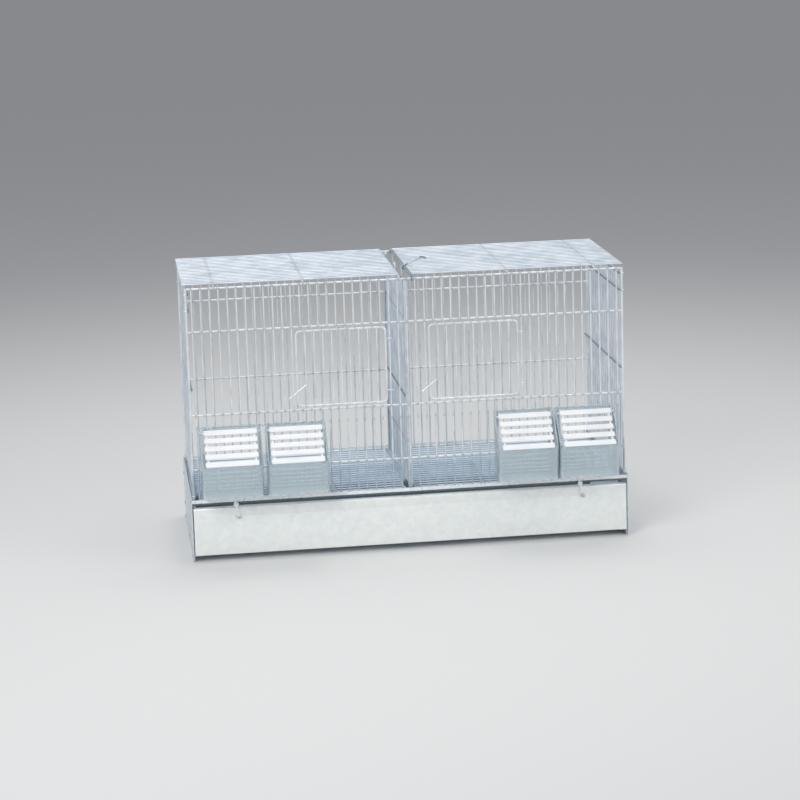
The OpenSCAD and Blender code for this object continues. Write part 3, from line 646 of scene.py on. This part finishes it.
# %% [markdown]
# ## Clear plastic
#
# The feeder boxes are moulded in polystyrene with a blue tint. Pure glass would be the simple way, but
# a moulded box goes a little milky, and in front of a dark tray glass turns dark. So about a quarter of
# the light is scattered, as in white plastic, and the rest goes through.

# %% Clear plastic
FLOW_MARKS = 0.04 * MM
clear_plastic = Finish("clear_polystyrene", Transmission_Weight=0.74, IOR=1.49)
skin = clear_plastic.group(
    moulding, Position=clear_plastic.position, Clean=colour(0.89, 0.97, 1.0),
    Handled=colour(0.86, 0.95, 0.99), Smoothest=0.02, Roughest=0.05,
)
clear_plastic.feed(
    Base_Color=skin["Color"],
    Roughness=skin["Roughness"],
    Normal=clear_plastic.bump(skin["Height"], FLOW_MARKS),
)
print("finish", clear_plastic.material.name)

# %% [markdown]
# ## White plastic
#
# The louvred covers are white polystyrene with a satin skin. White paint on metal would shine in one
# hard line, and plastic shines broadly, so the roughness is higher and changes where hands lift the
# cover. A little dust takes the edge off the white.

# %% White plastic
SATIN = 0.05 * MM
white_plastic = Finish("white_polystyrene", Specular_IOR_Level=0.5)
skin = white_plastic.group(
    moulding, Position=white_plastic.position, Clean=colour(0.92, 0.93, 0.94),
    Handled=colour(0.86, 0.87, 0.88), Smoothest=0.26, Roughest=0.42,
)
grey = white_plastic.group(dust, Position=white_plastic.position, Amount=0.18)["Mask"]
white_plastic.feed(
    Base_Color=white_plastic.w.blend(grey, skin["Color"], DUST_TINT),
    Roughness=skin["Roughness"],
    Normal=white_plastic.bump(skin["Height"], SATIN),
)
print("finish", white_plastic.material.name)

# %% [markdown]
# ## Plated steel
#
# Rivets and tray catches are small pressed pieces with a thin plating. The spangle of sheet would be
# too coarse for them, so they take the zinc coat at a finer scale, with short scuffs. The rivets stay
# dark and metallic, and the catches are nearly white.

# %% Plated steel
PLATING_GRAIN = 0.03 * MM


def plated_steel(name, bright, dull, metallic):
    """Plated steel, for the rivets and the turning catches."""
    finish = Finish(name, metallic=metallic)
    zinc = finish.group(
        zinc_coat, Position=finish.position, Bright=bright, Dull=dull,
        Cloud_Scale=120.0, Grain_Scale=2400.0, Smoothest=0.22, Roughest=0.40,
    )
    worn = finish.group(scuffs, Position=finish.position, Scale=700.0)
    streaked = finish.w.math("MULTIPLY", worn["Mask"], 0.3)
    finish.feed(
        Base_Color=finish.w.blend(streaked, zinc["Color"], WELD_TINT),
        Roughness=zinc["Roughness"],
        Normal=finish.bump(zinc["Height"], PLATING_GRAIN),
    )
    print("finish", name)
    return finish.material


rivet_skin = plated_steel("rivet_steel", colour(0.62, 0.64, 0.66), colour(0.44, 0.46, 0.48), 0.8)
catch_skin = plated_steel("catch_steel", colour(0.94, 0.95, 0.95), colour(0.86, 0.88, 0.89), 0.2)

# %% [markdown]
# ## Where the wires cross
#
# The marks need the spacing of the bars and the levels of the cross wires. The front bars stand 12 mm
# apart from the middle outwards. The bars of the sides, roof and floor divide the depth in even spaces,
# and that depth is measured on the grilles themselves, so the marks follow if the cage grows.

# %% Measure the bars
PITCH = 12 * MM
POST_R = 1.7 * MM
first_depth_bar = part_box("front_grille")[0].y + POST_R
last_depth_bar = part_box("back_grille")[1].y - POST_R
depth_spaces = round((last_depth_bar - first_depth_bar) / PITCH)
depth_pitch = (last_depth_bar - first_depth_bar) / depth_spaces
print("the depth has", depth_spaces, "spaces of", round(depth_pitch / MM, 3), "mm")

# %% [markdown]
# ### Front and back wires
#
# The front's bars cross six level wires, and the back's cross four. Low on the front the zinc is darker
# and bluer, down to the tone of the pan behind it. A second material could end there with a hard line,
# and a patch with a long fade doesn't.

# %% Front and back wires
def in_mm(*values):
    """These millimetres in metres."""
    return [value * MM for value in values]


FRONT_LEVELS = in_mm(84.5, 127, 185, 202, 316, 374.3)
BACK_LEVELS = in_mm(84.5, 202, 316, 374.3)
# Below the second front level the bars darken towards the tone of the pan behind them.
LOW_FRONT_ZINC = colour(0.48, 0.56, 0.63)
LOW_FRONT_FADE = 14 * MM
LOW_FRONT_TOP = FRONT_LEVELS[1] - 5 * MM
wire_finishes = {
    "front_grille": galvanised_wire(
        "front_wire", "X", "Z", PITCH, 0.0, FRONT_LEVELS,
        patches=[(LOW_FRONT_ZINC, LOW_FRONT_FADE, {"Z": (0, LOW_FRONT_TOP)})],
    ),
    "back_grille": galvanised_wire("back_wire", "X", "Z", PITCH, 0.0, BACK_LEVELS),
}
print("the stain ends", round(LOW_FRONT_TOP / MM, 1), "mm up")

# %% [markdown]
# ### Side wires
#
# The level wires of the sides are painted dark, a painted shade that makes them stand dark against the
# bars. They are one node with the bars, so a second material can't tell them apart, but a patch can: it
# fills the thin band in which each wire lies, and ends before the corner posts. The sides' own zinc is a
# darker blue-grey than the front's, and that is painted shade too.

# %% Side wires
SIDE_LEVELS = in_mm(92.3, 238, 345, 367.8)
SIDE_CROSS_REACH = 293.4 * MM
# The sides' zinc is a darker, bluer copy of the front's: painted shade. The level wires are painted darker still.
SHADED_SIDE_ZINC_BRIGHT, SHADED_SIDE_ZINC_DULL = colour(0.76, 0.81, 0.86), colour(0.56, 0.62, 0.69)
SHADE_DARK_ZINC = colour(0.24, 0.28, 0.33)
CRISP = 0.3 * MM
CROSS_R = 1.3 * MM


def around(level, half=CROSS_R * 1.2):
    """The range of a wire at this level."""
    return level - half, level + half


side_wire = galvanised_wire(
    "side_wire", "Y", "Z", depth_pitch, first_depth_bar, SIDE_LEVELS,
    SHADED_SIDE_ZINC_BRIGHT, SHADED_SIDE_ZINC_DULL,
    patches=[
        (SHADE_DARK_ZINC, CRISP, {"Z": around(z), "X": (-SIDE_CROSS_REACH, SIDE_CROSS_REACH)})
        for z in SIDE_LEVELS
    ],
)
wire_finishes["side_grille_left"] = wire_finishes["side_grille_right"] = side_wire
print("dark level wires on each side", len(SIDE_LEVELS))

# %% [markdown]
# ### Roof and floor wires
#
# Roof and floor are the same grille at two heights: long bars from left to right on three wires each.
# The roof's wire beside the divider's slot is painted dark, as painted shade. The floor's zinc is a bluer
# grey, a painted shade, and a painted light makes it paler at the back. Both finishes come from one
# loop, because only their numbers differ.

# %% Roof and floor wires
ROOF_WIRES = in_mm(8.3, 138, 258)
FLOOR_WIRES = in_mm(8.3, 102, 258)
# The floor's bluer grey is painted shade, its paler back is painted light, and the roof's slot wire is painted
# shade.
ROOF_ZINC_BRIGHT, ROOF_ZINC_DULL = colour(0.81, 0.86, 0.92), colour(0.61, 0.68, 0.76)
SHADED_FLOOR_ZINC_BRIGHT, SHADED_FLOOR_ZINC_DULL = colour(0.68, 0.77, 0.87), colour(0.55, 0.64, 0.74)
LIT_FLOOR_ZINC = colour(0.78, 0.86, 0.93)
LIT_FLOOR_DEPTH, LIT_FLOOR_FADE = 84 * MM, 12 * MM
FAR = 1.0
roof_wire, floor_wire = (
    galvanised_wire(
        name, "Y", "X", depth_pitch, first_depth_bar, wires + [-x for x in wires],
        bright, dull, [patch],
    )
    for name, wires, bright, dull, patch in (
        ("roof_wire", ROOF_WIRES, ROOF_ZINC_BRIGHT, ROOF_ZINC_DULL,
         (SHADE_DARK_ZINC, CRISP, {"X": around(ROOF_WIRES[0])})),
        ("floor_wire", FLOOR_WIRES, SHADED_FLOOR_ZINC_BRIGHT, SHADED_FLOOR_ZINC_DULL,
         (LIT_FLOOR_ZINC, LIT_FLOOR_FADE, {"Y": (last_depth_bar - LIT_FLOOR_DEPTH, FAR)})),
    )
)
wire_finishes["roof_grille_left"] = wire_finishes["roof_grille_right"] = roof_wire
wire_finishes["floor_grille_left"] = wire_finishes["floor_grille_right"] = floor_wire
print("roof wires", ROOF_WIRES, "floor wires", FLOOR_WIRES)

# %% [markdown]
# ### The divider and its catch
#
# The divider is a grille of its own that lifts out, and a hooked wire on the roof holds it down. Their
# zinc is the sides' and the roof's, so they take those colours, and with the sides' colours the divider
# takes their painted shade. Two of the divider's level wires and both ends of the catch are painted dark
# with shade.

# %% Divider and catch wires
# Two divider level wires and the catch's two ends are painted dark: painted shade.
DIVIDER_LEVELS = in_mm(88.6, 142, 206, 316, 369)
DARK_DIVIDER_LEVELS = DIVIDER_LEVELS[2::2]
DIVIDER_WIRE_R = 1.5 * MM
CATCH_END = 9 * MM
divider_low, divider_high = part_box("divider_grille")
divider_first = divider_low.y + DIVIDER_WIRE_R
divider_depth = divider_high.y - divider_low.y - 2 * DIVIDER_WIRE_R
divider_spaces = round(divider_depth / PITCH)
divider_pitch = divider_depth / divider_spaces
wire_finishes["divider_grille"] = galvanised_wire(
    "divider_wire", "Y", "Z", divider_pitch, divider_first, DIVIDER_LEVELS,
    SHADED_SIDE_ZINC_BRIGHT, SHADED_SIDE_ZINC_DULL,
    patches=[(SHADE_DARK_ZINC, CRISP, {"Z": around(z)}) for z in DARK_DIVIDER_LEVELS],
)
catch_low, catch_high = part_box("divider_catch")
wire_finishes["divider_catch"] = galvanised_wire(
    "catch_wire", bright=ROOF_ZINC_BRIGHT, dull=ROOF_ZINC_DULL,
    patches=[(SHADE_DARK_ZINC, CRISP, {"X": around(x, CATCH_END)}) for x in (catch_low.x, catch_high.x)],
)
print("the divider has", divider_spaces, "spaces of", round(divider_pitch / MM, 3), "mm")

# %% [markdown]
# ### The doors' wires
#
# Each door is a bent frame with its own bars, a little closer than the front's. Its marks are counted
# from its hinge, which the joint knows, and not from the middle of the cage, so that they lie on the
# door's bars. Then every wire node gets its finish in place of the plain colour that it came with.

# %% Door wires, and the finishes on their nodes
DOOR_PITCH = 0.96 * PITCH
SIDES = ("left", "right")
for side in SIDES:
    door_low, door_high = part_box(f"door_{side}")
    wire_finishes[f"door_{side}"] = galvanised_wire(
        f"door_wire_{side}", "X", "Z", DOOR_PITCH, joints[f"door_{side}_swing"]["pos_m"][0],
        [door_low.z, door_high.z],
    )
for node, material in wire_finishes.items():
    nodes[node].data.materials.clear()
    nodes[node].data.materials.append(material)
print("wire nodes", len(wire_finishes))

# %% [markdown]
# ## Weld beads
#
# A spot weld presses a little soft steel out of the crossing, and it sets as a low bead round the two
# wires. The beads could be set by hand, or at every bar and level, but then some would hang in a door
# opening. A search tree of the grille's own faces tells whether a bar and a cross wire both run beside
# a crossing, and a bead is made only where they do.

# %% Does a wire run here?
BESIDE = 3.5 * MM
NEAR = 0.2 * MM


def wire_runs(tree, place, axis, radius):
    """Whether a wire of this radius runs along the axis, on either side of the place."""
    for side in (-BESIDE, BESIDE):
        beside = place.copy()
        beside[axis] += side
        found = tree.find_nearest(beside)[0]
        if found is not None and (found - beside).length < radius + NEAR:
            return True
    return False


print("a wire is looked for", round(BESIDE / MM, 1), "mm to either side")

# %% [markdown]
# ### The beads of one grille
#
# There are about nine hundred beads, so each has to be cheap. A smooth sphere would take hundreds of
# faces that are too small to show. An icosphere of twenty faces, squashed to the depth of a bead and
# shaded smooth, is enough. All beads of a grille are one piece, which rides on the grille's body.

# %% A bead where two wires meet
BAR_R, SINK = 1.0 * MM, 0.3 * MM
BEAD_WIDE, BEAD_DEEP = 1.75 * MM, 0.95 * MM
BEAD_FACES = 20
X, Y, Z = range(3)


def weld_beads(node, bar_axis, depth_axis, bars, levels, bar_depth, cross_depth):
    """The beads of one grille: its bars run along bar_axis, its cross wires along the third axis."""
    cross_axis = X + Y + Z - bar_axis - depth_axis
    grille = bmesh.new()
    grille.from_mesh(nodes[node].data)
    tree = BVHTree.FromBMesh(grille)
    grille.free()
    half_size = Vector((BEAD_WIDE, BEAD_WIDE, BEAD_WIDE))
    half_size[depth_axis] = BEAD_DEEP
    beads = bmesh.new()
    for bar in bars:
        for level in levels:
            on_bar = Vector((0, 0, 0))
            on_bar[cross_axis], on_bar[bar_axis], on_bar[depth_axis] = bar, level, bar_depth
            on_wire = on_bar.copy()
            on_wire[depth_axis] = cross_depth
            if (wire_runs(tree, on_bar, bar_axis, BAR_R)
                    and wire_runs(tree, on_wire, cross_axis, CROSS_R)):
                place = Matrix.Translation((on_bar + on_wire) / 2)
                shape = place @ Matrix.Diagonal(half_size).to_4x4()
                bmesh.ops.create_icosphere(beads, subdivisions=1, radius=1.0, matrix=shape)
    piece = mesh_object(f"{node}_weld_beads", beads)
    piece.data.shade_smooth()
    piece.data.materials.append(bead_zinc)
    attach(piece, body_of_node[node])
    print(node, "has", len(piece.data.polygons) // BEAD_FACES, "beads")


print("a bead is", round(2 * BEAD_WIDE / MM, 1), "mm across")

# %% [markdown]
# ### The upright grilles
#
# Front, back and divider stand upright: their bars run up, and the cross wires lie one step beside
# them, on the inside of the front and the back. That step is both radii less what the weld sinks in.
# The bars' places could be read from the mesh, but the same few values that set the weld marks give
# them too, so marks and beads agree.

# %% Beads of the front, the back and the divider
STEP = BAR_R + CROSS_R - SINK
HALF_FRONT_BARS = 24
front_bars = [PITCH * n for n in range(-HALF_FRONT_BARS, HALF_FRONT_BARS + 1)]
divider_bars = [divider_first + divider_pitch * n for n in range(divider_spaces + 1)]
weld_beads("front_grille", Z, Y, front_bars, FRONT_LEVELS, first_depth_bar, first_depth_bar + STEP)
weld_beads("back_grille", Z, Y, front_bars, BACK_LEVELS, last_depth_bar, last_depth_bar - STEP)
weld_beads("divider_grille", Z, X, divider_bars, DIVIDER_LEVELS[1:-1], 0.0, STEP)
print("a cross wire lies", round(STEP / MM, 2), "mm from its bars")

# %% [markdown]
# ### The sides, the roof and the floor
#
# These grilles come in pairs. A mirror of the left beads would make the right ones, but then the search
# tree wouldn't have looked at the right grille, so one loop makes both with a sign. The bars of the
# roof and the floor lie on top of their cross wires.

# %% Beads of the sides, the roof and the floor
POST_X, POST_STEP = 295.45 * MM, 3.1 * MM
ROOF_BARS_Z = 379 * MM
FLOOR_CROSS_Z = 81.8 * MM
depth_bars = [first_depth_bar + depth_pitch * n for n in range(depth_spaces + 1)]
for side, sign in zip(SIDES, (-1, 1)):
    end_wire = sign * (POST_X - POST_STEP)
    weld_beads(
        f"side_grille_{side}", Z, X, depth_bars, SIDE_LEVELS, end_wire + sign * STEP, end_wire
    )
    weld_beads(
        f"roof_grille_{side}", X, Z, depth_bars, [sign * x for x in ROOF_WIRES],
        ROOF_BARS_Z, ROOF_BARS_Z - STEP,
    )
    weld_beads(
        f"floor_grille_{side}", X, Z, depth_bars, [sign * x for x in FLOOR_WIRES],
        FLOOR_CROSS_Z + STEP, FLOOR_CROSS_Z,
    )
print("depth bars", len(depth_bars))

# %% [markdown]
# ## Rounding the sheet and plastic pieces
#
# No real edge is sharp. A sheet edge is rolled over by the shears by a few tenths of a millimetre, and a
# moulded edge has a radius, and both catch a thin line of light. A Bevel modifier could do it, but the
# frame's meshes are loose triangles, and it would round every seam. So a copy of each piece is merged,
# its flat faces are joined, and only its sharp edges are bevelled. The copy then stands for the plain
# piece.

# %% Rounding helper
FLAT = math.radians(1.0)
SHARP = math.radians(35.0)
SAME_POINT = 0.002 * MM


def rounded_copy(node, name, radius, segments=2):
    """A copy of a node with its sharp edges bevelled, in the node's place."""
    bm = bmesh.new()
    bm.from_mesh(nodes[node].data)
    bmesh.ops.remove_doubles(bm, verts=bm.verts, dist=SAME_POINT)
    bmesh.ops.dissolve_limit(bm, angle_limit=FLAT, verts=bm.verts, edges=bm.edges)
    sharp = [e for e in bm.edges if e.is_manifold and e.calc_face_angle() > SHARP]
    bmesh.ops.bevel(
        bm, geom=sharp, offset=radius, offset_type="OFFSET", segments=segments,
        affect="EDGES", profile=0.5, material=-1, clamp_overlap=True,
    )
    bmesh.ops.triangulate(bm, faces=[f for f in bm.faces if len(f.verts) > 4])
    piece = mesh_object(name, bm)
    piece.data.shade_smooth()
    piece.data.set_sharp_from_angle(angle=SHARP)
    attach(piece, body_of_node[node])
    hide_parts(node)
    print(name, "has", len(piece.data.polygons), "faces")
    return piece


print("an edge is sharp from", round(math.degrees(SHARP)), "degrees")

# %% [markdown]
# ### The base, the runners and the guides
#
# The cage stands on two side sheets, joined by a back sheet and a narrow front rail, and the tray runs
# on two folded angles. One zinc for all would do, but the real sheets differ: the rail and the back
# are brighter and less metallic. A dark band on the rail's foot is painted shade over the gap above the
# tray. The angles and the divider's guides are small folded pieces, so their edges are rounded a little
# less.

# %% Sheets of the base
RAIL_BRIGHT, RAIL_DULL = colour(0.90, 0.92, 0.94), colour(0.80, 0.83, 0.87)
# A dark band on the rail's foot: painted shade over the gap above the tray.
RAIL_FOOT_SHADE = colour(0.10, 0.14, 0.16)
RAIL_SHADE_HIGH, RAIL_SHADE_FADE = 2.6 * MM, 0.8 * MM
rail_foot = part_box("front_rail")[0].z
skin_of = {
    "base_back": galvanised_sheet(
        "back_zinc", RAIL_BRIGHT, RAIL_DULL,
        crystals=170.0, smoothest=0.28, roughest=0.46, metallic=0.25,
    ),
    "front_rail": galvanised_sheet(
        "rail_zinc", RAIL_BRIGHT, RAIL_DULL,
        crystals=170.0, smoothest=0.26, roughest=0.42, metallic=0.3,
        patches=[(RAIL_FOOT_SHADE, RAIL_SHADE_FADE, {"Z": (0, rail_foot + RAIL_SHADE_HIGH)})],
    ),
}
BASE_EDGE, THIN_EDGE = 0.3 * MM, 0.25 * MM
EDGE_OF = {
    "base_side_left": BASE_EDGE, "base_side_right": BASE_EDGE,
    "base_back": BASE_EDGE, "front_rail": BASE_EDGE,
    "tray_runner_left": THIN_EDGE, "tray_runner_right": THIN_EDGE,
    "divider_guide_front": THIN_EDGE, "divider_guide_back": THIN_EDGE,
}
for node, radius in EDGE_OF.items():
    piece = rounded_copy(node, f"{node}_sheet", radius)
    piece.data.materials.append(skin_of.get(node, sheet))
print("sheet pieces", len(EDGE_OF))

# %% [markdown]
# ### The tray
#
# The tray is a folded pan behind a tall front plate. The plate is washed and nearly white. The pan is
# duller and bluer, and a painted shade darkens the low corner along its back, where the inside of the
# tray lies in shade. A patch that is bounded in height and in depth puts it there and nowhere else.

# %% Tray pan and front plate
TRAY_BRIGHT, TRAY_DULL = colour(0.90, 0.93, 0.91), colour(0.83, 0.87, 0.85)
PAN_BRIGHT, PAN_DULL = colour(0.76, 0.84, 0.91), colour(0.60, 0.69, 0.78)
# A dark band low along the pan's back wall: painted shade.
PAN_PAINTED_SHADE = colour(0.13, 0.16, 0.18)
PAN_SHADE_HIGH, PAN_SHADE_DEEP, PAN_SHADE_FADE = 34 * MM, 4 * MM, 8 * MM
pan_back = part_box("tray_pan")[1].y
tray_skin = galvanised_sheet(
    "tray_zinc", TRAY_BRIGHT, TRAY_DULL,
    crystals=160.0, smoothest=0.34, roughest=0.52, metallic=0.35,
)
pan_skin = galvanised_sheet(
    "pan_zinc", PAN_BRIGHT, PAN_DULL,
    crystals=90.0, smoothest=0.40, roughest=0.60, metallic=0.1,
    patches=[(PAN_PAINTED_SHADE, PAN_SHADE_FADE, {"Z": (0, PAN_SHADE_HIGH), "Y": (pan_back - PAN_SHADE_DEEP, FAR)})],
)
for node, skin in (("tray_pan", pan_skin), ("tray_front", tray_skin)):
    piece = rounded_copy(node, f"{node}_sheet", BASE_EDGE)
    piece.data.materials.append(skin)
print("grime starts", round((pan_back - PAN_SHADE_DEEP) / MM, 1), "mm behind the middle")

# %% [markdown]
# ### Rivets and catches
#
# Twelve rivets hold the base together, and two pressed catches turn in front of the rail to keep the
# tray in. They could be left as they come, because they are small, but a sharp edge on a small piece
# glints like a cut. They get the same rounding as the sheets, which on them looks soft.

# %% Rivets and tray catches
for node in ("tray_catch_left", "tray_catch_right", "base_rivets"):
    piece = rounded_copy(node, f"{node}_plated", BASE_EDGE)
    piece.data.materials.append(rivet_skin if node == "base_rivets" else catch_skin)
print("rounded by", round(BASE_EDGE / MM, 2), "mm")

# %% [markdown]
# ### Turned shapes
#
# The rivet that each tray catch turns on has a domed head of darker steel, and a white button on the
# catch, just over the gap, gives the thumb a hold. Squashed spheres would be quick, but they have no
# rim. Both are turned shapes, as from a lathe: half of the outline is drawn with a few points, from the
# rim to the middle, and spun once round the axis. A full spin needs use_merge, or the first and the
# last ring of points stay apart and leave a seam.

# %% A turned shape on a node
TURNED_STEPS = 24
SAME_RIM_POINT = 0.001 * MM


def turned_on(node, name, centre, outline, skin):
    """A turned shape that stands out to the front from a node, at this centre."""
    bm = bmesh.new()
    points = [bm.verts.new(centre + Vector((r * MM, -h * MM, 0))) for r, h in outline]
    edges = [bm.edges.new(pair) for pair in zip(points, points[1:])]
    bmesh.ops.spin(
        bm, geom=points + edges, cent=centre, axis=(0, 1, 0), angle=math.tau,
        steps=TURNED_STEPS, use_merge=True,
    )
    bmesh.ops.remove_doubles(bm, verts=bm.verts, dist=SAME_RIM_POINT)
    bmesh.ops.holes_fill(bm, edges=[e for e in bm.edges if e.is_boundary])
    bmesh.ops.recalc_face_normals(bm, faces=bm.faces)
    piece = mesh_object(name, bm)
    piece.data.shade_smooth()
    piece.data.set_sharp_from_angle(angle=SHARP)
    piece.data.materials.append(skin)
    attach(piece, body_of_node[node])
    print(name, "has", len(piece.data.polygons), "faces")


print("a turned shape has", TURNED_STEPS, "steps round")

# %% [markdown]
# ### Rivet heads and thumb buttons
#
# The head sits on the pivot of the catch, and the button further up the catch, which leans a little to
# the left. Their places could be typed in, but the pivot is read from the joint, so they stay on the
# catch if it moves. Both are sunk a little, so that no gap shows under the rim, and both ride with
# their catch.

# %% Domed rivet heads and thumb buttons
# Each outline is a list of radius and height in mm, from the rim to the middle
RIVET_OUTLINE = ((3.0, 0.0), (2.75, 0.55), (1.9, 1.05), (0.8, 1.3), (0.0, 1.35))
BUTTON_OUTLINE = ((3.1, 0.0), (3.5, 0.4), (3.5, 1.1), (3.0, 1.7), (1.8, 1.95), (0.0, 2.0))
SUNK = 0.25 * MM
HOLD_HEIGHT, HOLD_PROUD = 17.5 * MM, 1.3 * MM
CATCH_LEAN = math.radians(12)
UP_THE_CATCH = Vector((-math.sin(CATCH_LEAN), 0, math.cos(CATCH_LEAN)))
for side in SIDES:
    catch = f"tray_catch_{side}"
    pivot = Vector(joints[f"{catch}_turn"]["pos_m"])
    pivot.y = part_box(catch)[0].y + SUNK
    turned_on(catch, f"{catch}_rivet_head", pivot, RIVET_OUTLINE, rivet_skin)
    hold = pivot + UP_THE_CATCH * HOLD_HEIGHT
    hold.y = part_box("front_rail")[0].y - HOLD_PROUD
    turned_on(catch, f"{catch}_thumb_button", hold, BUTTON_OUTLINE, catch_skin)

# %% [markdown]
# ### The feeders
#
# Each feeder is a clear moulded box that hooks over a wire, with a white louvred cover on two hinge
# pins. The four are alike, so a loop dresses them. Moulded edges are rounder than sheet, and light runs
# along them in the clear plastic, so they get a larger radius and one more step in the bevel.

# %% Feeders
BOX_EDGE, COVER_EDGE = 0.4 * MM, 0.35 * MM
MOULDED_STEPS = 3
for n in range(1, 5):
    box = rounded_copy(f"feeder_box_{n}", f"feeder_{n}_clear_box", BOX_EDGE, segments=MOULDED_STEPS)
    box.data.materials.append(clear_plastic.material)
    cover = rounded_copy(
        f"feeder_cover_{n}", f"feeder_{n}_louvred_cover", COVER_EDGE, segments=MOULDED_STEPS
    )
    cover.data.materials.append(white_plastic.material)

# %% [markdown]
# ## The end
#
# The dressed cage may not outgrow the frame, or it would no longer fit where the frame fits.
